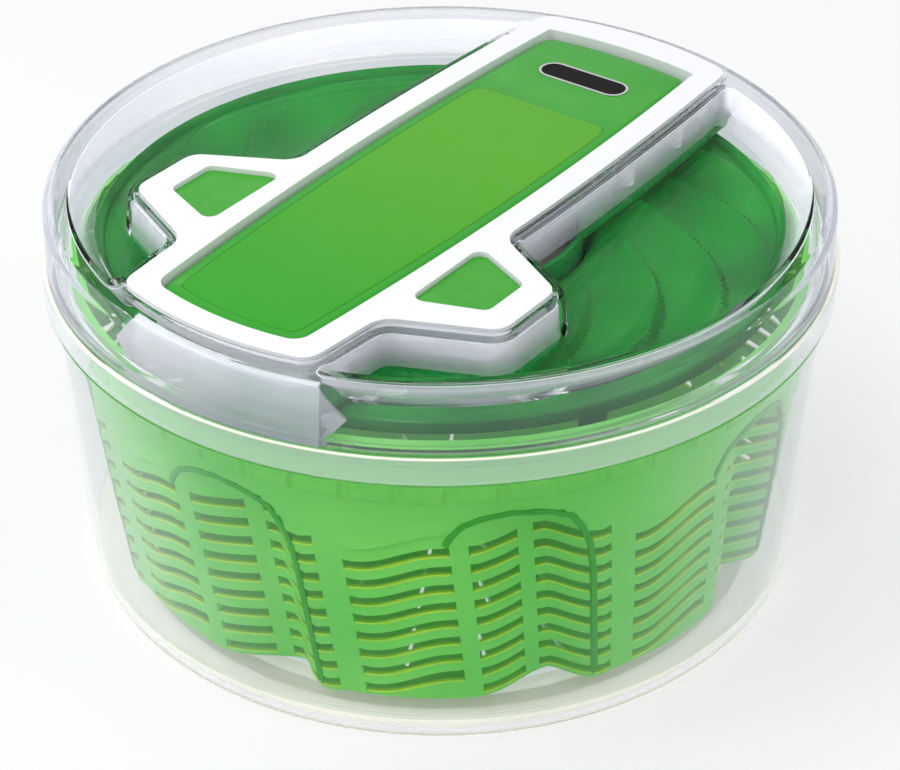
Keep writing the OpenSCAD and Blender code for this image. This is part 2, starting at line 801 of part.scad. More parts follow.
module lever_housing() {
    color("white") difference() {
        union() {
            difference() {
                union() {
                    translate([0, 0, flange_z]) linear_extrude(flange_t) frame_2d();
                    translate([0, 0, trough_bot_z]) linear_extrude(frame_z - trough_bot_z)
                        trough_2d(frame_wall);
                    translate([0, 0, case_top_z]) linear_extrude(frame_z - case_top_z)
                        window_2d(well_wall);
                    frame_bosses(frame_boss_r, case_top_z, flange_z + 1);
                }
                translate([0, 0, trough_floor_z]) linear_extrude(big) trough_2d();
                translate([0, 0, case_top_z - 1]) linear_extrude(big) window_2d();
                translate([dome_x0 + eps, dome_y0, trough_bot_z - 1])
                    cube([dome_x1 - dome_x0 - 2 * eps, dome_y1 - dome_y0, 10]);
            }
            dome();
            difference() {
                hinge_ears();
                translate([0, 0, frame_z]) linear_extrude(big) square(2 * big, center = true);
            }
        }
        translate([rack_slot_x0, rack_slot_y, trough_bot_z - 1])
            cube([rack_slot_w, dome_y1 + dome_wall + 1 - rack_slot_y, big]);
        rod_x(-big, 2 * big, hinge_pin_r + screw_gap, hinge_y, hinge_z);
        frame_bosses(screw_r + screw_gap, case_top_z - 1, case_top_z + 10);
        translate([-button_in - bolt_half, button_y - bolt_half - bolt_gap, bolt_z - bolt_gap])
            cube([button_in + bolt_half - bolt_tip_x + 2, 2 * (bolt_half + bolt_gap),
                bolt_h + 2 * bolt_gap]);
    }
}

module hinge_pin() {
    color("silver")
        rod_x(-hinge_pin_end, 2 * hinge_pin_end, hinge_pin_r, hinge_y, hinge_z);
}

// Two torsion springs round the hinge pin, drawn at their locked length
module lever_springs() {
    color("silver") for (x = [-spring_pocket_x - spring_pocket_w, spring_pocket_x])
        translate([x + spring_end_gap, hinge_y, hinge_z]) rotate([0, 90, 0])
            coil(lever_spring_r, lever_wire, lever_spring_turns,
                spring_pocket_w - 2 * spring_end_gap, lever_spring_leg);
}

// ---------------------------------------------------------------- lever

module lever_shell() {
    color([0.2, 0.7, 0.2]) difference() {
        union() {
            difference() {
                translate([0, 0, lever_skirt_z]) linear_extrude(lever_z - lever_skirt_z)
                    intersection() {
                        lever_2d();
                        translate([-big, -big]) square([2 * big, big + hinge_y]);
                    }
                translate([0, 0, lever_skirt_z - 1]) linear_extrude(lever_under_z - lever_skirt_z + 1)
                    intersection() {
                        lever_2d(-lever_wall);
                        translate([-big, -big]) square([2 * big, big + hinge_y - nose_r]);
                    }
            }
            intersection() {
                rod_x(-lever_half_w, 2 * lever_half_w, nose_r, hinge_y, hinge_z);
                translate([0, 0, hinge_z - nose_r - 1]) linear_extrude(3 * nose_r) lever_2d();
            }
        }
        translate([0, 0, lever_z - pad_t]) linear_extrude(big) pad_2d(screw_gap);
        translate([0, badge_y, lever_z - badge_sink]) linear_extrude(big) badge_2d(screw_gap);
        rod_x(-big, 2 * big, hinge_pin_r + run_gap, hinge_y, hinge_z);
        both_sides() translate([spring_pocket_x, spring_pocket_y, hinge_z - nose_r - 1])
            cube([spring_pocket_w, lever_rear_y + 1 - spring_pocket_y,
                spring_pocket_top + nose_r + 1]);
        translate([-lever_half_w - latch_bow - 1, button_y - bolt_half - keeper_gap,
            bolt_z - keeper_gap])
            cube([lever_wall + 2, 2 * (bolt_half + keeper_gap), bolt_h + 2 * keeper_gap]);
        rack_screw_places() translate([0, 0, lever_under_z - 1])
            cylinder(r = small_screw_r + screw_gap, h = 2.2, $fn = 32);
    }
}

module pad_2d(g = 0) {
    intersection() {
        lever_2d(g - pad_inset);
        translate([-big, -big]) square([2 * big, big + pad_rear + g]);
    }
}

module lever_pad() {
    color([0.38, 0.7, 0.18]) translate([0, 0, lever_z - pad_t]) linear_extrude(pad_t) pad_2d();
}

module badge_rim() {
    color("silver") translate([0, badge_y, lever_z - badge_sink])
        linear_extrude(badge_sink + 0.3) difference() {
            badge_2d();
            badge_2d(-badge_rim_w);
        }
}

module badge_plate() {
    color("black") translate([0, badge_y, lever_z - badge_sink])
        linear_extrude(badge_sink + 0.1) badge_2d(-badge_rim_w - screw_gap);
}

module rack_screw_places() {
    for (s = [-1, 1])
        translate([rack_x + s * rack_screw_x, foot_y0 + foot_l / 2, 0]) children();
}

// The curved rack: an arc about the hinge with its teeth on the far side, and the foot that holds it
module lever_rack() {
    start_deg = mesh_deg - 2.5 * rack_pitch_deg;
    web_y = hinge_y - rack_r + ded + 0.2;
    color("whitesmoke") difference() {
        union() {
            along_x(rack_x0, gear_w) translate([hinge_y, hinge_z]) {
                intersection() {
                    difference() {
                        circle(r = rack_r - ded, $fn = 180);
                        circle(r = rack_r - rack_back, $fn = 180);
                    }
                    polygon([[0, 0], big * [-cos(start_deg), -sin(start_deg)],
                        big * [-cos(rack_end_deg), -sin(rack_end_deg)]]);
                }
                for (k = [-2 : rack_steps - 1])
                    rotate(180 + mesh_deg + k * rack_pitch_deg) tooth_2d(rack_r);
            }
            translate([rack_x0, web_y, lever_under_z - rack_web_h])
                cube([gear_w, foot_y0 + foot_l - web_y, rack_web_h]);
            translate([rack_x - foot_half, foot_y0, lever_under_z - foot_t])
                cube([2 * foot_half, foot_l, foot_t]);
        }
        rack_screw_places() translate([0, 0, lever_under_z - foot_t - 1])
            cylinder(r = small_screw_r + screw_gap, h = foot_t + 2, $fn = 32);
    }
}

module rack_screws() {
    color("silver") rack_screw_places() translate([0, 0, lever_under_z - foot_t - small_head_h])
        screw(small_screw_r, small_head_r, small_head_h, foot_t + 1);
}

// ---------------------------------------------------------------- gear train

module cross_shaft() {
    x0 = cross_left_x - pillar_t;
    color("silver") rod_x(x0, cross_right_x + pillar_t - x0, shaft_r, cross_y, cross_z);
}

module rack_pinion() {
    color("whitesmoke") along_x(rack_x0 - 0.3, gear_w + 0.6) translate([cross_y, cross_z])
        difference() {
            union() {
                circle(r = pinion_r - ded);
                for (k = [0 : pinion_teeth - 1])
                    rotate(mesh_deg + 360 * (k + 0.5) / pinion_teeth) tooth_2d(pinion_r);
            }
            circle(r = shaft_r + screw_gap);
        }
}

module crown_gear() {
    back = ded + crown_plate_t;
    color("whitesmoke") translate([crown_x, cross_y, cross_z]) rotate([0, -90, 0]) difference() {
        union() {
            translate([0, 0, -back]) cylinder(r = crown_out_r, h = crown_plate_t);
            translate([0, 0, -back]) cylinder(r = shaft_r + crown_hub_wall, h = back + crown_hub_l);
            for (k = [0 : crown_teeth - 1])
                rotate(180 + 360 * k / crown_teeth) translate([crown_r - crown_face_w / 2, 0, 0])
                    rotate([90, 0, 90]) linear_extrude(crown_face_w) crown_tooth_2d();
        }
        translate([0, 0, -back - 1]) cylinder(r = shaft_r + screw_gap, h = back + crown_hub_l + 2);
    }
}

// One tooth of the crown gear: x lies round the gear, y along its axis
module crown_tooth_2d() {
    foot_y = -ded - tooth_bite;
    polygon([[-crown_root, foot_y], [-tooth_tip, add], [tooth_tip, add], [crown_root, foot_y]]);
}

module idler_shaft() {
    color("silver") translate([idler_x, cross_y, cup_floor_z + 0.2])
        cylinder(r = shaft_r, h = idler_pinion_z + idler_pinion_h - cup_floor_z - 0.2);
}

module idler_pinion() {
    color("whitesmoke") translate([idler_x, cross_y, idler_pinion_z])
        spur_gear(idler_pinion_teeth, idler_pinion_h, shaft_r + screw_gap, 180 / idler_pinion_teeth);
}

module idler_gear() {
    color("whitesmoke") translate([idler_x, cross_y, gear_bot_z])
        spur_gear(idler_teeth, gear_w, shaft_r + screw_gap, atan2(-cross_y, -idler_x));
}

// Places of the rollers between the clutch gear and the output shaft
module roller_places() {
    for (k = [0 : 2])
        rotate(120 * k + 30) translate([clutch_shaft_r + roller_r + run_gap, 0, 0]) children();
}

module clutch_gear() {
    color("whitesmoke") translate([0, 0, gear_bot_z]) difference() {
        spur_gear(clutch_teeth, gear_w, clutch_shaft_r + run_gap,
            atan2(cross_y, idler_x) + 180 / clutch_teeth);
        translate([0, 0, 1]) roller_places() cylinder(r = roller_r + run_gap, h = gear_w, $fn = 32);
    }
}

module clutch_rollers() {
    color("silver") translate([0, 0, gear_bot_z + 1]) roller_places()
        cylinder(r = roller_r, h = gear_w - 1, $fn = 32);
}

module clutch_cap() {
    color("silver") translate([0, 0, gear_top_z])
        ring(clutch_r - ded, clutch_shaft_r + run_gap, cap_t);
}

module output_shaft() {
    bush_top_z = cup_floor_z + bush_rise;
    color("silver") difference() {
        union() {
            translate([0, 0, dish_bot_z]) cylinder(r = clutch_shaft_r, h = dish_top_z - dish_bot_z);
            translate([0, 0, dish_top_z]) cylinder(r = output_r, h = gear_bot_z - 0.1 - dish_top_z);
            translate([0, 0, bush_top_z + 0.1])
                cylinder(r = output_r + bush_wall, h = gear_bot_z - 0.6 - bush_top_z);
            translate([0, 0, gear_bot_z - 0.2])
                cylinder(r = clutch_shaft_r, h = plate_bot_z - 0.2 - gear_bot_z + 0.2);
            translate([0, 0, plate_bot_z - 0.3]) cylinder(r = plate_pivot_r, h = plate_t);
        }
        translate([0, 0, dish_bot_z - 1])
            cylinder(r = disc_screw_r + screw_gap, h = screw_l + 3, $fn = 32);
    }
}

module output_bush() {
    color("tan") translate([0, 0, cup_bot_z]) difference() {
        union() {
            cylinder(r = output_r + bush_wall, h = cup_wall + bush_rise);
            translate([0, 0, cup_wall]) cylinder(r = output_r + bush_wall + bush_lip, h = 1);
        }
        translate([0, 0, -1]) cylinder(r = output_r + run_gap, h = cup_wall + bush_rise + 2);
    }
}

// ---------------------------------------------------------------- gearbox

module post_places() {
    for (a = post_angles) rotate(a) translate([post_ring_r, 0, 0]) children();
}

module gearbox_case() {
    color([0.1, 0.45, 0.2]) difference() {
        union() {
            difference() {
                union() {
                    translate([0, 0, case_bot_z]) linear_extrude(case_t) intersection() {
                        union() {
                            frame_2d(surround_w - 0.5);
                            circle(r = cup_out_r, $fn = 96);
                        }
                        circle(r = lip_in_r - 0.8, $fn = 180);
                    }
                    translate([0, 0, cup_bot_z]) cylinder(r = cup_out_r, h = case_top_z - cup_bot_z);
                }
                translate([0, 0, cup_floor_z]) cylinder(r = cup_in_r, h = big);
            }
            translate([idler_x, cross_y, cup_floor_z - 1])
                cylinder(r = idler_boss_r, h = gear_bot_z - 0.5 - cup_floor_z + 1);
            translate([0, 0, cup_floor_z - 1]) post_places()
                cylinder(r = post_r, h = plate_bot_z - cup_floor_z + 1, $fn = 32);
        }
        translate([0, 0, cup_bot_z - 1]) cylinder(r = output_r + bush_wall + screw_gap, h = 4);
        translate([idler_x, cross_y, cup_floor_z])
            cylinder(r = shaft_r + run_gap, h = gear_bot_z - cup_floor_z + 1);
        translate([0, 0, plate_bot_z - 9]) post_places()
            cylinder(r = small_screw_r + screw_gap, h = 10, $fn = 32);
        for (s = [-1, 1], y = frame_boss_ys) translate([s * frame_boss_x(y), y, case_bot_z - 1]) {
            cylinder(r = screw_r + screw_gap, h = case_t + 2, $fn = 32);
            cylinder(r = screw_head_r + head_gap, h = screw_head_h + 1, $fn = 32);
        }
        translate([button_x, button_y, case_bot_z - 1]) cylinder(r = shoe_r + 0.5, h = case_t + 2);
    }
}

module case_screws() {
    color("silver") for (s = [-1, 1], y = frame_boss_ys)
        translate([s * frame_boss_x(y), y, case_bot_z])
            screw(screw_r, screw_head_r, screw_head_h, screw_l, $fn = 32);
}

module bearing_plate() {
    color("whitesmoke") difference() {
        union() {
            translate([0, 0, plate_bot_z]) cylinder(r = cup_in_r - 0.3, h = plate_t);
            for (x = [cross_left_x - pillar_t, cross_right_x])
                translate([x, cross_y - pillar_half, plate_bot_z + 1])
                    cube([pillar_t, 2 * pillar_half, cross_z + 3.5 - plate_bot_z - 1]);
        }
        translate([rack_slot_x0 - 0.2, rack_slot_y - 1, plate_bot_z - 1])
            cube([rack_slot_w + 0.4, big, plate_t + 2]);
        translate([idler_x, cross_y, plate_bot_z - 1])
            cylinder(r = shaft_r + run_gap, h = plate_t + 2);
        translate([0, 0, plate_bot_z - 1]) cylinder(r = plate_pivot_r + run_gap, h = plate_t + 2);
        rod_x(-big, 2 * big, shaft_r + run_gap, cross_y, cross_z);
        translate([0, 0, plate_bot_z - 1]) post_places()
            cylinder(r = small_screw_r + screw_gap, h = plate_t + 2, $fn = 32);
    }
}

module plate_screws() {
    color("silver") translate([0, 0, plate_top_z + small_head_h]) post_places() mirror([0, 0, 1])
        screw(small_screw_r, small_head_r, small_head_h, screw_l, $fn = 32);
}

// ---------------------------------------------------------------- disc

// Curved vanes between two radii, each a thin crescent arc
module vanes(r0, r1) {
    linear_extrude(vane_h + 0.2) intersection() {
        difference() {
            circle(r = r1, $fn = 128);
            circle(r = r0, $fn = 128);
        }
        for (k = [0 : vane_count - 1]) rotate(360 * k / vane_count)
            translate([r0 + vane_start, vane_shift]) intersection() {
                difference() {
                    circle(r = vane_curve_r, $fn = 128);
                    circle(r = vane_curve_r - vane_w, $fn = 128);
                }
                translate([-vane_start, -big]) square([big, big]);
            }
    }
}

module drive_disc() {
    plate_z = disc_top_z - vane_h;
    rim_in_r = disc_r - disc_rim_w;
    track_half = shoe_r + 1;
    color([0.05, 0.5, 0.22]) {
        rotate_extrude($fn = 128) polygon([[clutch_shaft_r + screw_gap, dish_bot_z],
            [dish_out_r, dish_bot_z], [dish_out_r, disc_low_z], [rim_in_r, disc_low_z],
            [rim_in_r, disc_low_z - 1], [disc_r, disc_low_z - 1], [disc_r, disc_top_z],
            [rim_in_r + 1, disc_top_z], [rim_in_r, plate_z], [track_r + track_half + 1, plate_z],
            [track_r + track_half, disc_top_z], [track_r - track_half, disc_top_z],
            [track_r - track_half - 1, plate_z], [dish_in_r, plate_z], [dish_in_r, dish_top_z],
            [clutch_shaft_r + screw_gap, dish_top_z]]);
        translate([0, 0, plate_z - 0.2]) vanes(track_r + shoe_r, disc_r - 2);
        for (k = [0 : tab_count - 1])
            rotate(360 * (k + 0.5) / tab_count)
                translate([disc_r - tab_t, -tab_w / 2, tab_z]) cube([tab_t - 0.2, tab_w, tab_h]);
    }
}

module disc_screw() {
    color("silver") translate([0, 0, dish_bot_z - disc_head_h])
        screw(disc_screw_r, clutch_shaft_r + 3, disc_head_h, screw_l, $fn = 48);
}

// ---------------------------------------------------------------- buttons

module button_cap() {
    translate([0, 0, button_bot_z]) linear_extrude(button_t) button_2d(0);
}

module brake_button() {
    stem_z = shoe_z + shoe_h;
    color([0.2, 0.7, 0.25]) {
        button_cap();
        translate([button_x, button_y, stem_z])
            cylinder(r = brake_stem_r, h = button_bot_z - stem_z + 1);
    }
}

module brake_shoe() {
    color("dimgray") translate([button_x, button_y, shoe_z]) cylinder(r = shoe_r, h = shoe_h);
}

module brake_spring() {
    color("silver") translate([button_x, button_y, case_top_z])
        coil(brake_spring_r, brake_wire, 5, button_bot_z - case_top_z);
}

module lock_pin_places() {
    for (s = [-1, 1]) translate([-cam_x + 3.5, button_y + s * lock_spring_y, 0]) children();
}

module lock_button() {
    cheek_w = 6;
    cheek_low_z = cam_pin_z - 2;
    color([0.2, 0.7, 0.25]) {
        mirror([1, 0, 0]) button_cap();
        for (s = [-1, 1])
            translate([-cam_x - cheek_w / 2,
                button_y + s * (bolt_half + fit_gap + cheek_t / 2) - cheek_t / 2, cheek_low_z])
                cube([cheek_w, cheek_t, button_bot_z - cheek_low_z + 1]);
        translate([-cam_x, button_y, cam_pin_z]) rotate([90, 0, 0])
            cylinder(r = cam_pin_r, h = 2 * (bolt_half + fit_gap + 0.5), center = true);
        lock_pin_places() translate([0, 0, button_bot_z - lock_pin_l])
            cylinder(r = lock_pin_r, h = lock_pin_l + 1, $fn = 32);
    }
}

module lock_springs() {
    color("silver") lock_pin_places() translate([0, 0, case_top_z])
        coil(lock_spring_r, lock_wire, 6, button_bot_z - case_top_z);
}

// The sliding bolt: its sloping slot turns the button's travel into travel towards the lever
module latch_bolt() {
    slot_r = cam_pin_r + cam_gap;
    color("whitesmoke") difference() {
        union() {
            translate([-cam_x, button_y - bolt_half, bolt_z])
                cube([cam_x - bolt_tip_x, 2 * bolt_half, bolt_h]);
            translate([-cam_x - cam_half, button_y - bolt_half, cam_low_z])
                cube([2 * cam_half, 2 * bolt_half, cam_top_z - cam_low_z]);
        }
        for (t = [0, lock_travel])
            translate([-cam_x - t, button_y, cam_pin_z - t]) rotate([90, 0, 0])
                cylinder(r = slot_r, h = 2 * bolt_half + 2, center = true);
        translate([-cam_x - lock_travel / 2, button_y, cam_pin_z - lock_travel / 2])
            rotate([0, -45, 0])
                cube([lock_travel * sqrt(2), 2 * bolt_half + 2, 2 * slot_r], center = true);
    }
}

// ---------------------------------------------------------------- assembly

bowl();
foot_ring();
basket();
lid_shell();
lever_housing();
gearbox_case();
case_screws();
bearing_plate();
plate_screws();
output_bush();
hinge_pin();
lever_springs();
lever_shell();
lever_pad();
badge_rim();
badge_plate();
lever_rack();
rack_screws();
cross_shaft();
rack_pinion();
crown_gear();
idler_shaft();
idler_pinion();
idler_gear();
clutch_gear();
clutch_rollers();
clutch_cap();
output_shaft();
drive_disc();
disc_screw();
brake_button();
brake_shoe();
brake_spring();
lock_button();
lock_springs();
latch_bolt();
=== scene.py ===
"""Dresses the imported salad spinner: bowl, basket, lid, lever, disc, finishes, light and camera.

Lengths are in millimetres inside the mesh code and become metres when a mesh is made.
"""

from __future__ import annotations

import json
import logging
import math
from collections.abc import Iterable, Mapping, Sequence
from dataclasses import dataclass, field
from enum import Enum
from itertools import product

import bpy
from mathutils import Matrix, Vector
from mathutils.geometry import tessellate_polygon

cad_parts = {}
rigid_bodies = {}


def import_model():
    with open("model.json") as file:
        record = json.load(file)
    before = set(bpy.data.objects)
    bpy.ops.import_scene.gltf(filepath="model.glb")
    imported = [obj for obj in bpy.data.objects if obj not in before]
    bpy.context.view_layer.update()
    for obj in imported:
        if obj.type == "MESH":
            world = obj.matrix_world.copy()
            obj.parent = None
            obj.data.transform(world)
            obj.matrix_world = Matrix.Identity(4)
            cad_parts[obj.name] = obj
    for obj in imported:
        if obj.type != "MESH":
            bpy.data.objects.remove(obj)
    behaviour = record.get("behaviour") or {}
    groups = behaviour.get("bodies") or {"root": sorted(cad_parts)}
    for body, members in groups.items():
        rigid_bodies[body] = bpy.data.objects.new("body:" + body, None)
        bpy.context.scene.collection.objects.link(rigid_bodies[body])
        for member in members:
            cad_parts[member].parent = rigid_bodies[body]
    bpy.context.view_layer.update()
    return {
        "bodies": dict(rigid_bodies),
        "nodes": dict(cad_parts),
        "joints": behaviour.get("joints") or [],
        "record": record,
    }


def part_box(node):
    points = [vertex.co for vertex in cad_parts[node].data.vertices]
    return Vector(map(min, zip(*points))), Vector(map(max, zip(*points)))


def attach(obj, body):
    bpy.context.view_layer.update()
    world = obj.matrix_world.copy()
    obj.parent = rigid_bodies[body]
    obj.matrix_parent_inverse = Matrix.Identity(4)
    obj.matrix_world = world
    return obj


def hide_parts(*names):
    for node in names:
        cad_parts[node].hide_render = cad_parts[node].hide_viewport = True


LOG = logging.getLogger("spinner")
MM = 0.001
BLOCK_SIDES = ((0, 2, 3, 1), (4, 5, 7, 6), (0, 1, 5, 4), (2, 6, 7, 3), (0, 4, 6, 2), (1, 3, 7, 5))
COARSE_TURN = 192
FINE_TURN = 256
USUAL_SHARP = 40.0

Point2 = tuple[float, float]
Point3 = tuple[float, float, float]
Color = tuple[float, float, float]
Corner = tuple[float, float, float]
Level = tuple[float, float, float]
Socket = bpy.types.NodeSocket

MID_GREY: Color = (0.5, 0.5, 0.5)
DARK_GREY: Color = (0.4, 0.4, 0.4)
PALE_GREY: Color = (0.8, 0.8, 0.8)
WHITE = (1.0, 1.0, 1.0, 1.0)
NOISE_RANGE: Point2 = (0.3, 0.7)
LEVER_LENGTH: Point2 = (-0.11, 0.03)
RECESS_HEIGHT: Point2 = (0.123, 0.134)
EDGE_ON: Point2 = (0.2, 0.95)
MOSTLY_CLEAR = 0.9
LEAST_ROUND = 0.25
MOST_OF_SIDE = 0.48


# ------------------------------------------------------------------ plane geometry


def smoothstep(value: float) -> float:
    """Eases a value from 0 to 1, held at both ends."""
    held = min(1.0, max(0.0, value))
    return held * held * (3.0 - 2.0 * held)


def mix(start: float, end: float, share: float) -> float:
    """Blends two numbers."""
    return start + (end - start) * share


def table_value(table: Sequence[Point2], place: float) -> float:
    """Reads a table of (place, value) pairs with smooth steps between its rows.

    Args:
        table: Rows in rising order of place.
        place: Where to read it.

    Returns:
        The value there, held at both ends.
    """
    if place <= table[0][0]:
        return table[0][1]
    for (low, first), (high, second) in zip(table, table[1:]):
        if place <= high:
            return mix(first, second, smoothstep((place - low) / (high - low)))
    return table[-1][1]


def offset_outline(corners: Sequence[Corner], grow: float, steps: int) -> list[Point2]:
    """Rounds and grows a polygon and keeps its point count whatever the growth.

    Args:
        corners: Points (x, y, radius), anticlockwise. A radius of 0 is left sharp.
        grow: How far the outline moves outwards.
        steps: Segments in each rounded corner.

    Returns:
        The outline's points.
    """
    points: list[Point2] = []
    count = len(corners)
    for i, (x, y, radius) in enumerate(corners):
        before = corners[i - 1]
        after = corners[(i + 1) % count]
        first = Vector((y - before[1], before[0] - x)).normalized()
        second = Vector((after[1] - y, x - after[0])).normalized()
        bisector = (first + second) / (1.0 + first.dot(second))
        here = Vector((x, y))
        if radius <= 0.0:
            spot = here + bisector * grow
            points.append((spot.x, spot.y))
            continue
        turn = 1.0 if first.cross(second) > 0.0 else -1.0
        centre = here - bisector * radius * turn
        reach = max(LEAST_ROUND, radius + grow * turn) * turn
        angle = first.angle_signed(second)
        for k in range(steps + 1):
            spot = centre + Matrix.Rotation(-angle * k / steps, 2) @ first * reach
            points.append((spot.x, spot.y))
    return points


def arc_corners(
    centre_y: float, radius: float, start_deg: float, end_deg: float, steps: int
) -> list[Corner]:
    """Sharp corners along an arc about (0, centre_y), ends included."""
    spots: list[Corner] = []
    for k in range(steps + 1):
        angle = math.radians(mix(start_deg, end_deg, k / steps))
        spots.append((radius * math.cos(angle), centre_y + radius * math.sin(angle), 0.0))
    return spots


def both_sides(
    right: Sequence[Corner], rear: Sequence[Corner], front: Sequence[Corner]
) -> list[Corner]:
    """An even outline from its right side and the corners at its rear and front."""
    return [*right, *rear, *[(-x, y, r) for x, y, r in reversed(right)], *front]


def bearing(spot: Point2) -> float:
    """A point's angle about the axis, in degrees."""
    return math.degrees(math.atan2(spot[1], spot[0]))


def circle(radius: float, steps: int) -> list[Point2]:
    """Points of a circle about the axis, anticlockwise."""
    return [
        (radius * math.cos(math.tau * k / steps), radius * math.sin(math.tau * k / steps))
        for k in range(steps)
    ]


def at_angle(radius: float, angle: float, height: float) -> Point3:
    """The point at this radius, angle in radians and height."""
    return (radius * math.cos(angle), radius * math.sin(angle), height)


def mirrored(points: Sequence[Point2]) -> list[Point2]:
    """The same outline on the other side of the lever, still anticlockwise."""
    return [(-x, y) for x, y in reversed(points)]


# ------------------------------------------------------------------ mesh building


class Shell:
    """Collects rings of points and the faces between them, in millimetres."""

    def __init__(self) -> None:
        """Starts with no points."""
        self.points: list[Point3] = []
        self.faces: list[tuple[int, ...]] = []

    def ring(self, outline: Iterable[Point2], height: float) -> list[int]:
        """Adds a level ring and returns its point numbers."""
        return self.path([(x, y, height) for x, y in outline])

    def path(self, points: Iterable[Point3]) -> list[int]:
        """Adds points and returns their numbers."""
        start = len(self.points)
        self.points.extend(points)
        return list(range(start, len(self.points)))

    def bridge(self, lower: Sequence[int], upper: Sequence[int], closed: bool = True) -> None:
        """Joins two rings of equal length; their outside is on the right of the lower ring."""
        count = len(lower)
        for i in range(count if closed else count - 1):
            n = (i + 1) % count
            self.faces.append((lower[i], lower[n], upper[n], upper[i]))

    def stack(self, rings: Sequence[Sequence[int]]) -> None:
        """Joins each ring to the next."""
        for lower, upper in zip(rings, rings[1:]):
            self.bridge(lower, upper)

    def fill(self, loops: Sequence[Sequence[int]], up: bool) -> None:
        """Fills the level area between an outer ring and its holes.

        Args:
            loops: The outer ring first, then the holes.
            up: True if the area faces up.
        """
        flat = [[Vector(self.points[i]) for i in loop] for loop in loops]
        order = [i for loop in loops for i in loop]
        for a, b, c in tessellate_polygon(flat):
            one, two, three = (Vector(self.points[order[i]]) for i in (a, b, c))
            facing = (two - one).cross(three - one).z > 0.0
            face = (order[a], order[b], order[c])
            self.faces.append(face if facing == up else face[::-1])

    def cap(self, loop: Sequence[int], up: bool) -> None:
        """Closes a ring with a flat face."""
        self.fill([loop], up)

    def lathe(
        self, profile: Sequence[Point2], steps: int = COARSE_TURN, closed: bool = True
    ) -> None:
        """Turns a profile of (radius, height) about the axis.

        Args:
            profile: Points with the solid on their left. A radius of 0 becomes a pole.
            steps: Segments round the axis.
            closed: True to join the last point to the first.
        """
        rings: list[list[int]] = []
        for radius, height in profile:
            if radius <= 0.0:
                rings.append(self.path([(0.0, 0.0, height)]))
            else:
                rings.append(self.ring(circle(radius, steps), height))
        pairs = list(zip(rings, rings[1:]))
        if closed:
            pairs.append((rings[-1], rings[0]))
        for lower, upper in pairs:
            for i in range(steps):
                n = (i + 1) % steps
                if len(lower) == 1:
                    self.faces.append((lower[0], upper[n], upper[i]))
                elif len(upper) == 1:
                    self.faces.append((lower[i], lower[n], upper[0]))
                else:
                    self.faces.append((lower[i], lower[n], upper[n], upper[i]))

    def close_ends(self, first: Sequence[int], last: Sequence[int]) -> None:
        """Closes the two ends of a tube; the last one is turned round."""
        self.faces.append(tuple(first))
        self.faces.append(tuple(reversed(last)))

    def bar(self, lines: Sequence[Sequence[Point3]]) -> None:
        """Adds a closed bar from the lines that run along it."""
        numbers = [self.path(line) for line in lines]
        for one, two in zip(numbers, numbers[1:] + numbers[:1]):
            self.bridge(two, one, closed=False)
        self.close_ends([n[0] for n in numbers], [n[-1] for n in numbers])

    def block(self, low: Point3, high: Point3, turn_deg: float = 0.0) -> None:
        """Adds a box between two corners, turned about the axis."""
        spin = Matrix.Rotation(math.radians(turn_deg), 3, "Z")
        spots = [spin @ Vector(corner[::-1]) for corner in product(*zip(low[::-1], high[::-1]))]
        n = self.path([tuple(v) for v in spots])
        for side in BLOCK_SIDES:
            self.faces.append(tuple(n[corner] for corner in side))

    def build(self, name: str, sharp_deg: float = USUAL_SHARP) -> bpy.types.Object:
        """Makes the Blender object.

        Args:
            name: The piece's name.
            sharp_deg: Edges that turn more than this stay sharp.

        Returns:
            The new object, linked to the scene.
        """
        mesh = bpy.data.meshes.new(name)
        mesh.from_pydata([(x * MM, y * MM, z * MM) for x, y, z in self.points], [], self.faces)
        mesh.validate()
        mesh.update()
        mesh.shade_smooth()
        mesh.set_sharp_from_angle(angle=math.radians(sharp_deg))
        piece = bpy.data.objects.new(name, mesh)
        bpy.context.scene.collection.objects.link(piece)
        return piece


def fillet(profile: Sequence[Corner], steps: int) -> list[Point2]:
    """Rounds the corners of a profile given as (radius, height, rounding)."""
    points: list[Point2] = []
    count = len(profile)
    for i, (x, y, r) in enumerate(profile):
        if r <= 0.0:
            points.append((x, y))
            continue
        here = Vector((x, y))
        back = Vector(profile[i - 1][:2]) - here
        ahead = Vector(profile[(i + 1) % count][:2]) - here
        half = back.angle(ahead) / 2.0
        run = min(r / math.tan(half), MOST_OF_SIDE * back.length, MOST_OF_SIDE * ahead.length)
        start = here + back.normalized() * run
        end = here + ahead.normalized() * run
        for k in range(steps + 1):
            t = k / steps
            spot = start * (1 - t) ** 2 + here * 2 * t * (1 - t) + end * t * t
            points.append((spot.x, spot.y))
    return points


def box_mm(node: str) -> tuple[Vector, Vector]:
    """A node's lowest and highest corners in millimetres."""
    low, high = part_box(node)
    return Vector(low) / MM, Vector(high) / MM


# ------------------------------------------------------------------ shader groups


class Group(Enum):
    """The effects that several finishes share."""

    MOULDED = "moulded_surface"
    HAIRLINES = "handling_hairlines"
    # Edges that stand proud turn paler: wear, and on the basket a painted highlight.
    WEAR_AND_SHEEN = "edge_wear_and_sheen"


def srgb(red: float, green: float, blue: float) -> Color:
    """Turns a colour on a 0 to 255 screen scale into linear values."""
    parts = []
    for value in (red, green, blue):
        v = value / 255.0
        parts.append(v / 12.92 if v <= 0.04045 else ((v + 0.055) / 1.055) ** 2.4)
    return (parts[0], parts[1], parts[2])


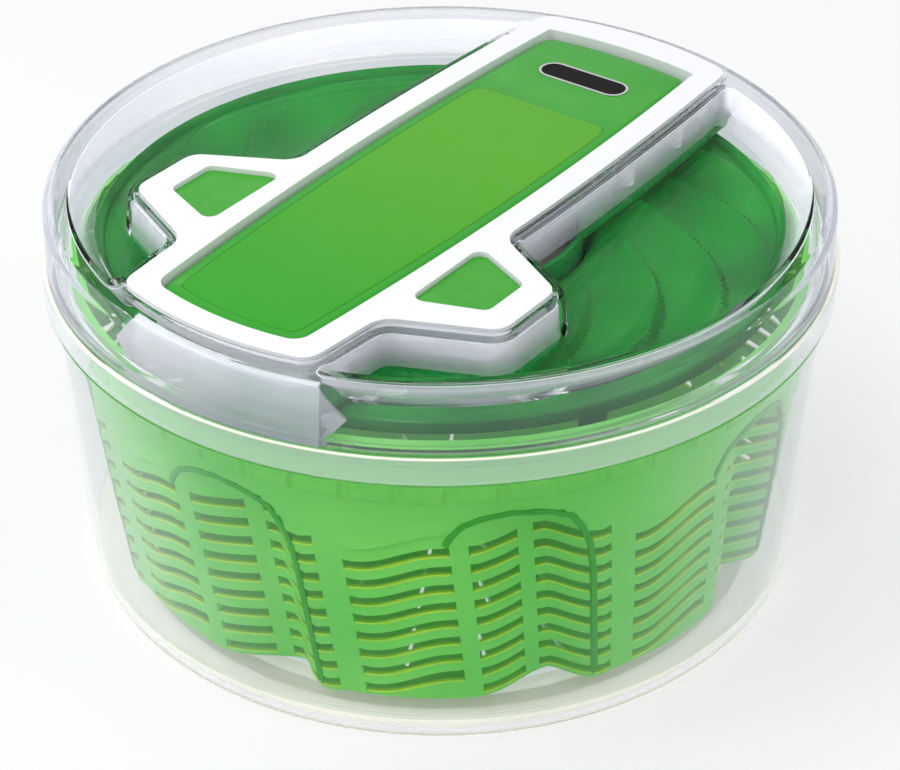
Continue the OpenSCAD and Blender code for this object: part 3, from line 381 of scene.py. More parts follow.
class NodeSheet:
    """Short calls for placing and linking shader nodes in one tree."""

    def __init__(self, tree: bpy.types.NodeTree) -> None:
        """Keeps the tree that the nodes go into."""
        self.tree = tree
        self.count = 0

    def add(
        self, kind: str, inputs: Mapping[str | int, object] | None = None, **values: object
    ) -> bpy.types.Node:
        """Adds a node.

        Args:
            kind: The node's type.
            inputs: Values for its inputs, by name or number; an output is linked.
            **values: Values for its properties, which are set first.

        Returns:
            The new node.
        """
        node = self.tree.nodes.new(kind)
        node.location = (220.0 * (self.count % 6), -260.0 * (self.count // 6))
        self.count += 1
        for key, value in values.items():
            setattr(node, key, value)
        for key, value in (inputs or {}).items():
            if isinstance(value, Socket):
                self.tree.links.new(value, node.inputs[key])
            else:
                node.inputs[key].default_value = value
        return node

    def place(self) -> Socket:
        """Where a point lies on the object, in metres."""
        return self.add("ShaderNodeTexCoord").outputs["Object"]

    def noise(self, place: Socket, scale: float | Socket, detail: float) -> Socket:
        """A noise texture read at a place."""
        inputs = {"Vector": place, "Scale": scale, "Detail": detail}
        return self.add("ShaderNodeTexNoise", inputs).outputs["Fac"]

    def ramp(
        self,
        source: Socket,
        taken: Point2,
        given: tuple[float | Socket, float | Socket] = (0.0, 1.0),
        smooth: bool = False,
    ) -> Socket:
        """Maps a value from one range to another.

        Args:
            source: The value.
            taken: The range that is read.
            given: The range that comes out; beyond it the value is held.
            smooth: True to ease both ends.

        Returns:
            The mapped value.
        """
        inputs = {"Value": source, "From Min": taken[0], "From Max": taken[1]}
        inputs |= {"To Min": given[0], "To Max": given[1]}
        kind = "SMOOTHSTEP" if smooth else "LINEAR"
        return self.add("ShaderNodeMapRange", inputs, interpolation_type=kind).outputs["Result"]

    def math(self, operation: str, first: Socket, second: Socket) -> Socket:
        """A sum on two values."""
        node = self.add("ShaderNodeMath", {0: first, 1: second}, operation=operation)
        return node.outputs["Value"]

    def tint(self, share: Socket, first: Socket | Color, second: Socket | Color) -> Socket:
        """Blends two colours, each linked or fixed, by a share from 0 to 1."""
        inputs: dict[str | int, object] = {"Factor": share}
        for name, side in (("A", first), ("B", second)):
            inputs[name] = (*side, 1.0) if isinstance(side, tuple) else side
        return self.add("ShaderNodeMix", inputs, data_type="RGBA").outputs["Result"]

    def either(self, share: Socket, first: Socket, second: Socket) -> Socket:
        """Blends two shaders by a share from 0 to 1."""
        return self.add("ShaderNodeMixShader", {0: share, 1: first, 2: second}).outputs["Shader"]


def empty_sheet(owner: bpy.types.Material | bpy.types.World) -> NodeSheet:
    """Empties the node tree of a material or world and opens it."""
    owner.use_nodes = True
    owner.node_tree.nodes.clear()
    return NodeSheet(owner.node_tree)


class GroupShelf:
    """Builds each shared group once and hands it out."""

    def __init__(self) -> None:
        """Builds the three groups."""
        self.trees = {
            Group.MOULDED: self._moulded(),
            Group.HAIRLINES: self._hairlines(),
            Group.WEAR_AND_SHEEN: self._wear_and_sheen_group(),
        }

    @staticmethod
    def _start(
        group: Group, inputs: Mapping[str, float | Color], outputs: Mapping[str, float | Color]
    ) -> tuple[NodeSheet, Mapping[str, Socket]]:
        """Makes an empty group with its sockets.

        Args:
            group: Which group.
            inputs: Names with their defaults; a colour makes a colour socket.
            outputs: The same for the outputs, whose defaults aren't used.

        Returns:
            The sheet and what comes in, by name.
        """
        tree = bpy.data.node_groups.new(group.value, "ShaderNodeTree")
        for way, rows in (("INPUT", inputs), ("OUTPUT", outputs)):
            for name, value in rows.items():
                colored = isinstance(value, tuple)
                kind = "NodeSocketColor" if colored else "NodeSocketFloat"
                socket = tree.interface.new_socket(name, in_out=way, socket_type=kind)
                if way == "INPUT":
                    socket.default_value = (*value, 1.0) if colored else value
        sheet = NodeSheet(tree)
        return sheet, sheet.add("NodeGroupInput").outputs

    def _moulded(self) -> bpy.types.NodeTree:
        """Slow colour drift, cloudy gloss and the faint ripple of moulded plastic."""
        sheet, taken = self._start(
            Group.MOULDED,
            {
                "Color": MID_GREY,
                "Drift Color": DARK_GREY,
                "Drift Scale": 18.0,
                "Smooth": 0.2,
                "Dull": 0.3,
            },
            {"Color": MID_GREY, "Roughness": 0.0, "Height": 0.0},
        )
        place = sheet.place()
        share = sheet.ramp(sheet.noise(place, taken["Drift Scale"], 3.0), NOISE_RANGE)
        color = sheet.tint(share, taken["Color"], taken["Drift Color"])
        cloud = sheet.noise(place, 75.0, 4.0)
        gloss = sheet.ramp(cloud, NOISE_RANGE, (taken["Smooth"], taken["Dull"]))
        ripple = sheet.noise(place, 55.0, 1.0)
        grain = sheet.noise(place, 1400.0, 2.0)
        heights = {0: grain, 1: 0.12, 2: ripple}
        height = sheet.add("ShaderNodeMath", heights, operation="MULTIPLY_ADD").outputs["Value"]
        sheet.add("NodeGroupOutput", {"Color": color, "Roughness": gloss, "Height": height})
        return sheet.tree

    def _hairlines(self) -> bpy.types.NodeTree:
        """Thin rubbing lines in two directions that dull a glossy face a little."""
        sheet, taken = self._start(
            Group.HAIRLINES, {"Roughness": 0.1, "Amount": 0.1}, {"Roughness": 0.0, "Mask": 0.0}
        )
        place = sheet.place()
        lines: list[Socket] = []
        for turn, stretch in ((0.5, (40.0, 1600.0, 40.0)), (2.1, (1900.0, 60.0, 60.0))):
            turned = {"Vector": place, "Rotation": (0.0, 0.0, turn), "Scale": stretch}
            mapped = sheet.add("ShaderNodeMapping", turned).outputs["Vector"]
            lines.append(sheet.ramp(sheet.noise(mapped, 1.0, 2.0), (0.62, 0.72)))
        mask = sheet.math("MAXIMUM", *lines)
        more = sheet.math("MULTIPLY", mask, taken["Amount"])
        total = sheet.math("ADD", more, taken["Roughness"])
        sheet.add("NodeGroupOutput", {"Roughness": total, "Mask": mask})
        return sheet.tree

    def _wear_and_sheen_group(self) -> bpy.types.NodeTree:
        """A paler colour where edges stand proud: wear on most finishes, and on the basket a
        painted highlight.
        """
        sheet, taken = self._start(
            Group.WEAR_AND_SHEEN,
            {"Color": MID_GREY, "Wear And Sheen Color": PALE_GREY, "Amount": 0.4},
            {"Color": MID_GREY, "Mask": 0.0},
        )
        proud = sheet.add("ShaderNodeNewGeometry").outputs["Pointiness"]
        edge = sheet.ramp(proud, (0.53, 0.66))
        patch = sheet.ramp(sheet.noise(sheet.place(), 120.0, 3.0), NOISE_RANGE, (0.4, 1.0))
        broken = sheet.math("MULTIPLY", edge, patch)
        share = sheet.math("MULTIPLY", broken, taken["Amount"])
        color = sheet.tint(share, taken["Color"], taken["Wear And Sheen Color"])
        sheet.add("NodeGroupOutput", {"Color": color, "Mask": share})
        return sheet.tree


# ------------------------------------------------------------------ finishes


class Finish(Enum):
    """The finishes on the spinner."""

    CLEAR = "clear_plastic"
    CLEAR_RUBBER = "clear_rubber"
    BASKET = "basket_green"
    DISC = "disc_green"
    WHITE = "white_plastic"
    LEVER = "lever_green"
    PAD = "pad_green"
    CHROME = "badge_chrome"
    BLACK = "badge_black"
    GEAR = "gear_plastic"
    CASE = "case_green"
    STEEL = "steel"
    BRONZE = "bronze"
    SHOE = "shoe_rubber"
    HAZE = "clear_plastic_haze"
    FIN_HIGHLIGHT = "basket_green_painted_highlight"
    VEIL = "clear_plastic_wall_painted_reflection"
    COLLAR = "clear_plastic_collar_painted_reflection"
    CREAM = "clear_plastic_painted_glow"
    SCREEN = "white_plastic_screen"
    RIM = "clear_plastic_rim_painted_reflection"


@dataclass(frozen=True)
class Recipe:
    """What a finish is made of; colours are linear."""

    color: Color
    drift: Color
    smooth: float
    dull: float
    ripple: float = 0.05
    metallic: float = 0.0
    clear: float = 0.0
    ior: float = 1.5
    # Paler colour for proud edges: wear, and on the basket a painted highlight.
    wear_and_sheen_color: Color | None = None
    scratch: float = 0.05
    shine: float = 0.5
    wear_and_sheen_amount: float = 0.4
    veil: Point2 | None = None
    far_color: Color | None = None
    # Opacity from face-on to edge-on; on the clear layers a painted reflection at grazing angles.
    edge_veil: Point2 | None = None
    # Emission that paints light into a part that is no lamp.
    painted_glow: float = 0.0


RECIPES: dict[Finish, Recipe] = {
    Finish.CLEAR: Recipe(
        srgb(253, 253, 255), srgb(249, 250, 254), 0.0, 0.03,
        ripple=0.02, clear=1.0, ior=1.12, scratch=0.01,
    ),
    Finish.CLEAR_RUBBER: Recipe(
        srgb(248, 246, 240), srgb(240, 237, 231), 0.2, 0.32,
        clear=0.6, ior=1.25, shine=0.2,
    ),
    # Painted highlight: the basket's paler edge colour stands in for light caught by the slot
    # edges.
    Finish.BASKET: Recipe(
        srgb(128, 220, 100), srgb(104, 212, 84), 0.16, 0.26,
        ripple=0.03, clear=0.3, ior=1.4, scratch=0.0, shine=0.15, wear_and_sheen_color=srgb(150, 222, 90),
        # Painted light: the glow stands in for light shining through the translucent basket.
        wear_and_sheen_amount=0.3, painted_glow=0.07,
    ),
    # Painted light: a faint glow stands in for light shining through the disc.
    Finish.DISC: Recipe(
        srgb(10, 132, 36), srgb(0, 88, 26), 0.1, 0.2,
        clear=0.1, ior=1.4, scratch=0.01, shine=0.08, painted_glow=0.04,
    ),
    Finish.WHITE: Recipe(
        srgb(248, 248, 250), srgb(244, 245, 248), 0.26, 0.34,
        ripple=0.02, scratch=0.01,
    ),
    Finish.LEVER: Recipe(
        srgb(36, 160, 18), srgb(30, 152, 16), 0.16, 0.22,
        ripple=0.02, wear_and_sheen_color=srgb(120, 205, 80), scratch=0.02, shine=0.3,
    ),
    Finish.PAD: Recipe(
        srgb(40, 161, 20), srgb(36, 155, 18), 0.34, 0.44,
        scratch=0.02, shine=0.25, far_color=srgb(80, 166, 12),
    ),
    Finish.CHROME: Recipe(srgb(205, 205, 208), srgb(190, 191, 196), 0.1, 0.2, metallic=1.0),
    Finish.BLACK: Recipe(srgb(9, 9, 10), srgb(16, 15, 15), 0.3, 0.4, shine=0.04),
    Finish.GEAR: Recipe(srgb(232, 229, 219), srgb(222, 219, 208), 0.34, 0.45),
    Finish.CASE: Recipe(
        srgb(6, 132, 46), srgb(3, 118, 40), 0.22, 0.32,
        wear_and_sheen_color=srgb(60, 170, 90), shine=0.3,
    ),
    Finish.STEEL: Recipe(
        srgb(190, 192, 196), srgb(168, 170, 175), 0.18, 0.36,
        metallic=1.0, wear_and_sheen_color=srgb(220, 221, 224),
    ),
    Finish.BRONZE: Recipe(
        srgb(178, 128, 70), srgb(150, 104, 56), 0.25, 0.4,
        metallic=1.0, wear_and_sheen_color=srgb(214, 170, 110),
    ),
    # Painted highlight: bright yellow-green for the light that the fins' lower edges catch.
    Finish.FIN_HIGHLIGHT: Recipe(
        srgb(186, 236, 62), srgb(150, 222, 54), 0.1, 0.18,
        ripple=0.02, clear=0.2, ior=1.4, scratch=0.0,
    ),
    # Painted reflection: the bowl wall turns whiter where it is seen edge-on.
    Finish.VEIL: Recipe(
        srgb(244, 243, 250), srgb(238, 238, 247), 0.15, 0.25,
        shine=0.2, edge_veil=(0.0, 0.24),
    ),
    # Painted reflection: the whitish band where the bowl's collar and the lid's skirt overlap.
    Finish.COLLAR: Recipe(
        srgb(240, 246, 246), srgb(232, 241, 240), 0.2, 0.3,
        shine=0.3, edge_veil=(0.22, 0.45),
    ),
    # Painted light: the glow makes the bowl's base and the collar's seam ring look lit.
    Finish.CREAM: Recipe(
        srgb(252, 250, 240), srgb(247, 244, 230), 0.2, 0.3,
        shine=0.3, edge_veil=(0.5, 0.35), painted_glow=0.24,
    ),
    Finish.SCREEN: Recipe(
        srgb(232, 233, 237), srgb(186, 204, 196), 0.35, 0.45,
        shine=0.3, edge_veil=(0.5, 0.6),
    ),
    # Painted reflection: the whitish-lavender sheen on the lid's rim, strongest edge-on.
    Finish.RIM: Recipe(
        srgb(224, 223, 234), srgb(214, 215, 228), 0.15, 0.25,
        shine=0.3, edge_veil=(0.05, 0.6),
    ),
    Finish.HAZE: Recipe(
        srgb(250, 250, 253), srgb(243, 244, 250), 0.2, 0.3,
        shine=0.2, veil=(0.12, 0.5),
    ),
    Finish.SHOE: Recipe(srgb(46, 46, 48), srgb(58, 57, 58), 0.6, 0.75, ripple=0.15),
}


class Paint:
    """Makes each finish's material once and puts it on pieces."""

    def __init__(self, shelf: GroupShelf) -> None:
        """Keeps the shared groups and starts with no materials."""
        self.shelf = shelf
        self.made: dict[Finish, bpy.types.Material] = {}

    def material(self, finish: Finish) -> bpy.types.Material:
        """The finish's material, made on first use."""
        if finish not in self.made:
            self.made[finish] = self._make(finish, RECIPES[finish])
        return self.made[finish]

    def _make(self, finish: Finish, recipe: Recipe) -> bpy.types.Material:
        """Builds a material from its recipe.

        Args:
            finish: Names the material.
            recipe: Its colours and surface.

        Returns:
            The new material.
        """
        material = bpy.data.materials.new(finish.value)
        sheet = empty_sheet(material)
        surface_values = {
            "Color": (*recipe.color, 1.0),
            "Drift Color": (*recipe.drift, 1.0),
            "Smooth": recipe.smooth,
            "Dull": recipe.dull,
        }
        surface = self._shared(sheet, Group.MOULDED, surface_values)
        line_values = {"Roughness": surface["Roughness"], "Amount": recipe.scratch}
        lines = self._shared(sheet, Group.HAIRLINES, line_values)
        color = surface["Color"]
        if recipe.far_color is not None:
            share = sheet.ramp(self._axis(sheet, "Y"), LEVER_LENGTH, smooth=True)
            color = sheet.tint(share, color, recipe.far_color)
        # Proud edges turn paler: wear, and on the basket a painted highlight.
        if recipe.wear_and_sheen_color is not None:
            wear_and_sheen_color = (*recipe.wear_and_sheen_color, 1.0)
            wear_and_sheen_values = {"Color": color, "Wear And Sheen Color": wear_and_sheen_color, "Amount": recipe.wear_and_sheen_amount}
            color = self._shared(sheet, Group.WEAR_AND_SHEEN, wear_and_sheen_values)["Color"]
        relief = {"Strength": recipe.ripple, "Distance": MM, "Height": surface["Height"]}
        body_values: dict[str | int, object] = {
            "Base Color": color,
            "Roughness": lines["Roughness"],
            "Normal": sheet.add("ShaderNodeBump", relief).outputs["Normal"],
            "Metallic": recipe.metallic,
            "IOR": recipe.ior,
            "Transmission Weight": recipe.clear,
            "Specular IOR Level": recipe.shine,
        }
        # Painted light: emission makes the part glow though it is no lamp.
        if recipe.painted_glow > 0.0:
            body_values |= {"Emission Strength": recipe.painted_glow, "Emission Color": color}
        if recipe.veil is not None:
            height = self._axis(sheet, "Z")
            body_values["Alpha"] = sheet.ramp(height, RECESS_HEIGHT, recipe.veil, smooth=True)
        # Whiter where the surface is seen edge-on: on the clear layers a painted reflection.
        if recipe.edge_veil is not None:
            facing = sheet.add("ShaderNodeLayerWeight").outputs["Facing"]
            body_values["Alpha"] = sheet.ramp(facing, EDGE_ON, recipe.edge_veil, smooth=True)
        shader = sheet.add("ShaderNodeBsdfPrincipled", body_values).outputs["BSDF"]
        if recipe.clear >= MOSTLY_CLEAR:
            through = sheet.add("ShaderNodeBsdfTransparent", {"Color": (0.965, 0.97, 0.98, 1.0)})
            shadow = sheet.add("ShaderNodeLightPath").outputs["Is Shadow Ray"]
            shader = sheet.either(shadow, shader, through.outputs["BSDF"])
        sheet.add("ShaderNodeOutputMaterial", {"Surface": shader})
        return material

    def _shared(
        self, sheet: NodeSheet, group: Group, inputs: Mapping[str | int, object]
    ) -> Mapping[str, Socket]:
        """Places a shared group with this material's own values and returns its outputs."""
        return sheet.add("ShaderNodeGroup", inputs, node_tree=self.shelf.trees[group]).outputs

    @staticmethod
    def _axis(sheet: NodeSheet, axis: str) -> Socket:
        """Where a point lies along one axis, in metres."""
        return sheet.add("ShaderNodeSeparateXYZ", {"Vector": sheet.place()}).outputs[axis]

    def make(
        self, shell: Shell, name: str, finish: Finish, sharp_deg: float = USUAL_SHARP
    ) -> bpy.types.Object:
        """Makes a piece from its shell, dresses it and reports it.

        Args:
            shell: Its points and faces.
            name: Its name.
            finish: Its finish.
            sharp_deg: Edges that turn more than this stay sharp.

        Returns:
            The new piece.
        """
        piece = shell.build(name, sharp_deg)
        self.dress(piece, finish)
        LOG.info("%s: %d faces", name, len(shell.faces))
        return piece

    def dress(self, piece: bpy.types.Object, finish: Finish) -> None:
        """Puts a finish on every slot of a piece."""
        material = self.material(finish)
        if not piece.material_slots:
            piece.data.materials.append(material)
        for slot in piece.material_slots:
            slot.material = material


# ------------------------------------------------------------------ studio


@dataclass(frozen=True)
class Softbox:
    """A square lamp aimed at the middle of the object; angles are in degrees."""

    name: str
    azimuth: float
    elevation: float
    distance: float
    size: float
    power: float


@dataclass
class Studio:
    """The floor, the light and the camera."""

    stand: float = 0.713
    height: float = 0.533
    turn_deg: float = 36.7
    pitch_deg: float = 33.88
    yaw_deg: float = 0.24
    roll_deg: float = -0.15
    lens: float = 100.52
    sensor: float = 36.0
    soft_light: float = 0.62
    floor_white: float = 0.55
    floor_fade: Point2 = (0.3, 1.6)
    floor_rings: tuple[float, ...] = (2600.0, 900.0, 300.0)
    aim: Vector = field(default_factory=lambda: Vector((0.0, 0.0, 0.08)))
    lamps: tuple[Softbox, ...] = (
        Softbox("top_softbox", -150.0, 66.0, 1.3, 0.8, 5.6),
        Softbox("left_softbox", -120.0, 35.0, 1.4, 0.7, 2.4),
        Softbox("right_softbox", 10.0, 40.0, 1.5, 0.6, 1.8),
        Softbox("small_softbox", -70.0, 55.0, 1.2, 0.12, 1.2),
    )

    def build(self) -> None:
        """Makes everything in the studio."""
        self._camera()
        self._world()
        self._floor()
        for lamp in self.lamps:
            self._lamp(lamp)

    def _camera(self) -> None:
        """Places the camera from its stand, height and angles."""
        data = bpy.data.cameras.new("studio_camera")
        data.lens = self.lens
        data.sensor_width = self.sensor
        data.clip_start = 0.01
        camera = bpy.data.objects.new("studio_camera", data)
        yaw, pitch, roll = (math.radians(a) for a in (self.yaw_deg, self.pitch_deg, self.roll_deg))
        level = math.cos(pitch)
        ahead = Vector((math.sin(yaw) * level, math.cos(yaw) * level, -math.sin(pitch)))
        right = Vector((math.cos(yaw), -math.sin(yaw), 0.0))
        up = right.cross(ahead)
        tilted = right * math.cos(roll) + up * math.sin(roll)
        raised = up * math.cos(roll) - right * math.sin(roll)
        face = Matrix((tilted, raised, -ahead)).transposed().to_4x4()
        place = Matrix.Translation((0.0, -self.stand, self.height)) @ face
        camera.matrix_world = Matrix.Rotation(math.radians(self.turn_deg), 4, "Z") @ place
        bpy.context.scene.collection.objects.link(camera)
        bpy.context.scene.camera = camera

    @staticmethod
    def _looked_at(sheet: NodeSheet) -> Socket:
        """1 for rays that are seen directly, mirrored or through clear parts."""
        light = sheet.add("ShaderNodeLightPath").outputs
        seen = sheet.math("MAXIMUM", light["Is Camera Ray"], light["Is Glossy Ray"])
        return sheet.math("MAXIMUM", seen, light["Is Transmission Ray"])

    def _world(self) -> None:
        """A white surround for views, reflections and clear parts, and a softer one for light."""
        world = bpy.data.worlds.new("studio_world")
        bpy.context.scene.world = world
        sheet = empty_sheet(world)
        light = {"Color": (0.95, 0.96, 0.98, 1.0), "Strength": self.soft_light}
        soft = sheet.add("ShaderNodeBackground", light).outputs["Background"]
        white = sheet.add("ShaderNodeBackground", {"Color": WHITE}).outputs["Background"]
        shader = sheet.either(self._looked_at(sheet), soft, white)
        sheet.add("ShaderNodeOutputWorld", {"Surface": shader})

    def _floor(self) -> None:
        """A pale sweep under the object, whiter with distance."""
        shell = Shell()
        rings = [shell.ring(circle(radius, 96), 0.0) for radius in self.floor_rings]
        shell.stack(rings)
        shell.cap(rings[-1], True)
        floor = shell.build("studio_floor")
        material = bpy.data.materials.new("studio_floor")
        sheet = empty_sheet(material)
        place = sheet.place()
        share = sheet.ramp(sheet.noise(place, 6.0, 2.0), NOISE_RANGE)
        color = sheet.tint(share, (0.975, 0.975, 0.975), (0.96, 0.96, 0.962))
        body_values = {"Base Color": color, "Roughness": 0.7, "Specular IOR Level": 0.2}
        body = sheet.add("ShaderNodeBsdfPrincipled", body_values).outputs["BSDF"]
        white = sheet.add("ShaderNodeEmission").outputs["Emission"]
        reach = sheet.add("ShaderNodeVectorMath", {0: place}, operation="LENGTH").outputs["Value"]
        fade = sheet.ramp(reach, self.floor_fade, (self.floor_white, 1.0), smooth=True)
        seen = sheet.math("MULTIPLY", self._looked_at(sheet), fade)
        sheet.add("ShaderNodeOutputMaterial", {"Surface": sheet.either(seen, body, white)})
        floor.data.materials.append(material)

    def _lamp(self, lamp: Softbox) -> None:
        """Hangs a square lamp and aims it."""
        data = bpy.data.lights.new(lamp.name, "AREA")
        data.shape = "SQUARE"
        data.size = lamp.size
        data.energy = lamp.power
        piece = bpy.data.objects.new(lamp.name, data)
        around = math.radians(lamp.azimuth)
        above = math.radians(lamp.elevation)
        level = math.cos(above)
        away = Vector((math.cos(around) * level, math.sin(around) * level, math.sin(above)))
        piece.location = self.aim + away * lamp.distance
        piece.rotation_euler = (-away).to_track_quat("-Z", "Y").to_euler()
        bpy.context.scene.collection.objects.link(piece)


# ------------------------------------------------------------------ plan of the top


@dataclass(frozen=True)
class Plan:
    """Outlines that the lid, the frame and the lever share."""

    curve: float = 1400.0
    widest: float = 15.0
    stem_half: float = 42.0
    stem_front: float = 117.5
    stem_rear: float = 121.0
    stem_round: float = 7.0
    blend_round: float = 9.0
    wing_x: float = 72.0
    root_front: float = -82.0
    tip_front: float = -66.6
    tip_rear: float = -39.0
    root_rear: float = -22.5
    lever_half: float = 32.0
    lever_front: float = 108.5
    lever_rear: float = 106.5
    lever_rear_curve: float = 160.0
    lever_round: float = 5.0
    steps: int = 8
    side_places: tuple[float, ...] = (0.0, 20.0, 40.0, 60.0, 80.0, 90.0)
    front_place: float = -94.0
    arc_gap_deg: float = 5.0
    arc_steps: int = 10
    pocket_gap_deg: float = 3.2
    pocket_steps: int = 48
    pocket_round: float = 3.0
    pocket_corner_steps: int = 6
    lever_places: tuple[float, ...] = (-90, -70, -50, -30, -10, 10, 30, 50, 70, 90)
    lever_corner: float = 104.0
    lever_gap_deg: float = 3.0
    lever_arc_steps: int = 8

    def side_x(self, half: float, y: float) -> float:
        """How far from the middle a bowed side of this half width lies at y."""
        return half - self.curve + math.sqrt(self.curve**2 - (y - self.widest) ** 2)

    def crossing(self, half: float, reach: float, way: float) -> Point2:
        """Where a bowed side meets a circle of this reach; way is 1 at the rear, -1 in front."""
        x = half
        y = 0.0
        for _ in range(6):
            y = way * math.sqrt(reach**2 - x**2)
            x = self.side_x(half, y)
        return x, y

    def _side_corners(self) -> list[Corner]:
        """The stem's right side with its wing, from the front to the rear."""
        half = self.stem_half
        return [
            (self.side_x(half, self.front_place), self.front_place, 0.0),
            (self.side_x(half, self.root_front), self.root_front, self.blend_round),
            (self.wing_x, self.tip_front, self.stem_round),
            (self.wing_x, self.tip_rear, self.stem_round),
            (self.side_x(half, self.root_rear), self.root_rear, self.blend_round),
            *[(self.side_x(half, y), y, 0.0) for y in self.side_places],
        ]

    def stem(self, grow: float) -> list[Point2]:
        """The T-shaped outline, grown."""
        rear = self.crossing(self.stem_half, self.stem_rear, 1.0)
        front = self.crossing(self.stem_half, self.stem_front, -1.0)
        rear_deg = bearing(rear) + self.arc_gap_deg
        front_deg = bearing(front) - self.arc_gap_deg
        corners = both_sides(
            [(*front, self.stem_round), *self._side_corners(), (*rear, self.stem_round)],
            arc_corners(0.0, self.stem_rear, rear_deg, 180.0 - rear_deg, self.arc_steps),
            arc_corners(0.0, self.stem_front, -180.0 - front_deg, front_deg, self.arc_steps),
        )
        return offset_outline(corners, grow, self.steps)

    def pocket(self, grow: float, reach: float) -> list[Point2]:
        """The right half of the lid's recess: between the grown stem and a circle.

        Args:
            grow: How far the stem's side is moved out.
            reach: The circle's radius.

        Returns:
            The outline, anticlockwise.
        """
        side_count = sum(1 if c[2] == 0.0 else self.steps + 1 for c in self._side_corners())
        start = self.steps + 1
        side = self.stem(grow)[start : start + side_count]
        front = self.crossing(self.stem_half + grow, reach, -1.0)
        rear = self.crossing(self.stem_half + grow, reach, 1.0)
        low = bearing(front) + self.pocket_gap_deg
        high = bearing(rear) - self.pocket_gap_deg
        corners = [
            (*front, self.pocket_round),
            *arc_corners(0.0, reach, low, high, self.pocket_steps),
            (*rear, self.pocket_round),
            *[(x, y, 0.0) for x, y in reversed(side)],
        ]
        return offset_outline(corners, 0.0, self.pocket_corner_steps)

    def lever(self, grow: float) -> list[Point2]:
        """The lever's outline, grown."""
        right = [(self.side_x(self.lever_half, y), y, 0.0) for y in self.lever_places]
        front = self.crossing(self.lever_half, self.lever_front, -1.0)
        centre = self.lever_rear - self.lever_rear_curve
        rear_x = self.side_x(self.lever_half, self.lever_corner)
        rear_y = centre + math.sqrt(self.lever_rear_curve**2 - rear_x**2)
        front_deg = bearing(front) - self.arc_gap_deg
        rear_deg = bearing((rear_x, rear_y - centre)) + self.lever_gap_deg
        curve, steps = self.lever_rear_curve, self.lever_arc_steps
        corners = both_sides(
            [(*front, self.lever_round), *right, (rear_x, rear_y, self.lever_round)],
            arc_corners(centre, curve, rear_deg, 180.0 - rear_deg, steps),
            arc_corners(0.0, self.lever_front, -180.0 - front_deg, front_deg, steps),
        )
        return offset_outline(corners, grow, self.steps)


# ------------------------------------------------------------------ sub-assemblies


@dataclass
class Bowl:
    """The clear bowl: a turned wall with a thick collar and a stepped base."""

    paint: Paint
    collar: float = 130.0
    height: float = 115.5
    wall_top: float = 127.0
    base: float = 122.0
    wall: float = 2.4
    collar_low: float = 105.2
    lift: float = 0.8
    floor: float = 3.8
    groove: Point2 = (101.0, 107.0)
    veils: tuple[tuple[str, Finish, float, tuple[Point2, ...]], ...] = (
        ("bowl_wall_painted_reflection", Finish.VEIL, 0.15, ((118.6, 9.0), (121.6, 60.0), (124.0, 104.0))),
        ("bowl_collar_painted_reflection", Finish.COLLAR, 0.3, ((128.6, 105.7), (129.2, 106.4), (129.2, 114.8))),
        # Painted highlight: a bright ring along the seam between the collar and the lid.
        ("bowl_collar_painted_highlight", Finish.CREAM, 0.45, ((129.0, 115.0), (129.9, 115.1), (129.9, 115.5))),
        # Painted light: a glowing layer brightens the bowl's base.
        (
            "bowl_base_painted_glow", Finish.CREAM, 0.3,
            ((96.0, 2.4), (113.0, 2.4), (117.0, 3.4), (119.4, 6.2), (120.3, 9.2)),
        ),
    )

    def build(self) -> None:
        """Makes the bowl and the thin layers inside its wall that carry painted reflections, a
        painted highlight and a painted glow.
        """
        base_in = self.base - self.wall
        top_in = self.wall_top - self.wall
        profile = fillet(
            [
                (0.0, self.lift, 0.0),
                (self.groove[0], self.lift, 0.3),
                (self.groove[0], self.lift + 1.2, 0.0),
                (self.groove[1], self.lift + 1.2, 0.0),
                (self.groove[1], self.lift, 0.3),
                (self.base, self.lift, 8.5),
                (self.wall_top, self.collar_low, 0.9),
                (self.collar, self.collar_low + 0.3, 0.9),
                (self.collar, self.height, 0.8),
                (top_in, self.height, 0.7),
                (top_in, self.collar_low, 0.0),
                (base_in, self.floor, 6.5),
                (115.2, self.floor, 0.4),
                (114.9, self.floor + 0.8, 0.3),
                (112.6, self.floor + 0.8, 0.3),
                (112.2, self.floor, 0.4),
                (99.6, self.floor, 0.4),
                (99.2, self.floor + 0.6, 0.3),
                (97.4, self.floor + 0.6, 0.3),
                (97.0, self.floor, 0.4),
                (8.6, self.floor, 0.8),
                (8.0, 8.0, 0.4),
                (3.5, 8.0, 0.3),
                (3.5, 17.0, 0.6),
                (0.0, 17.0, 0.0),
            ],
            6,
        )
        shell = Shell()
        shell.lathe(profile, FINE_TURN, closed=False)
        piece = self.paint.make(shell, "clear_bowl", Finish.CLEAR, 35.0)
        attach(piece, "bowl")
        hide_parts("bowl")
        for name, finish, thick, line in self.veils:
            self._veil(name, finish, thick, line)

    def _veil(self, name: str, finish: Finish, thick: float, line: Sequence[Point2]) -> None:
        """A thin layer inside the clear wall that carries painted light.

        Args:
            name: The piece's name.
            finish: Its finish.
            thick: How far its inner side lies further in.
            line: Points of its outer side, from low to high.
        """
        shell = Shell()
        inner = [(r - thick, z + 0.1) for r, z in reversed(line)]
        shell.lathe([*line, *inner])
        piece = self.paint.make(shell, name, finish)
        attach(piece, "bowl")


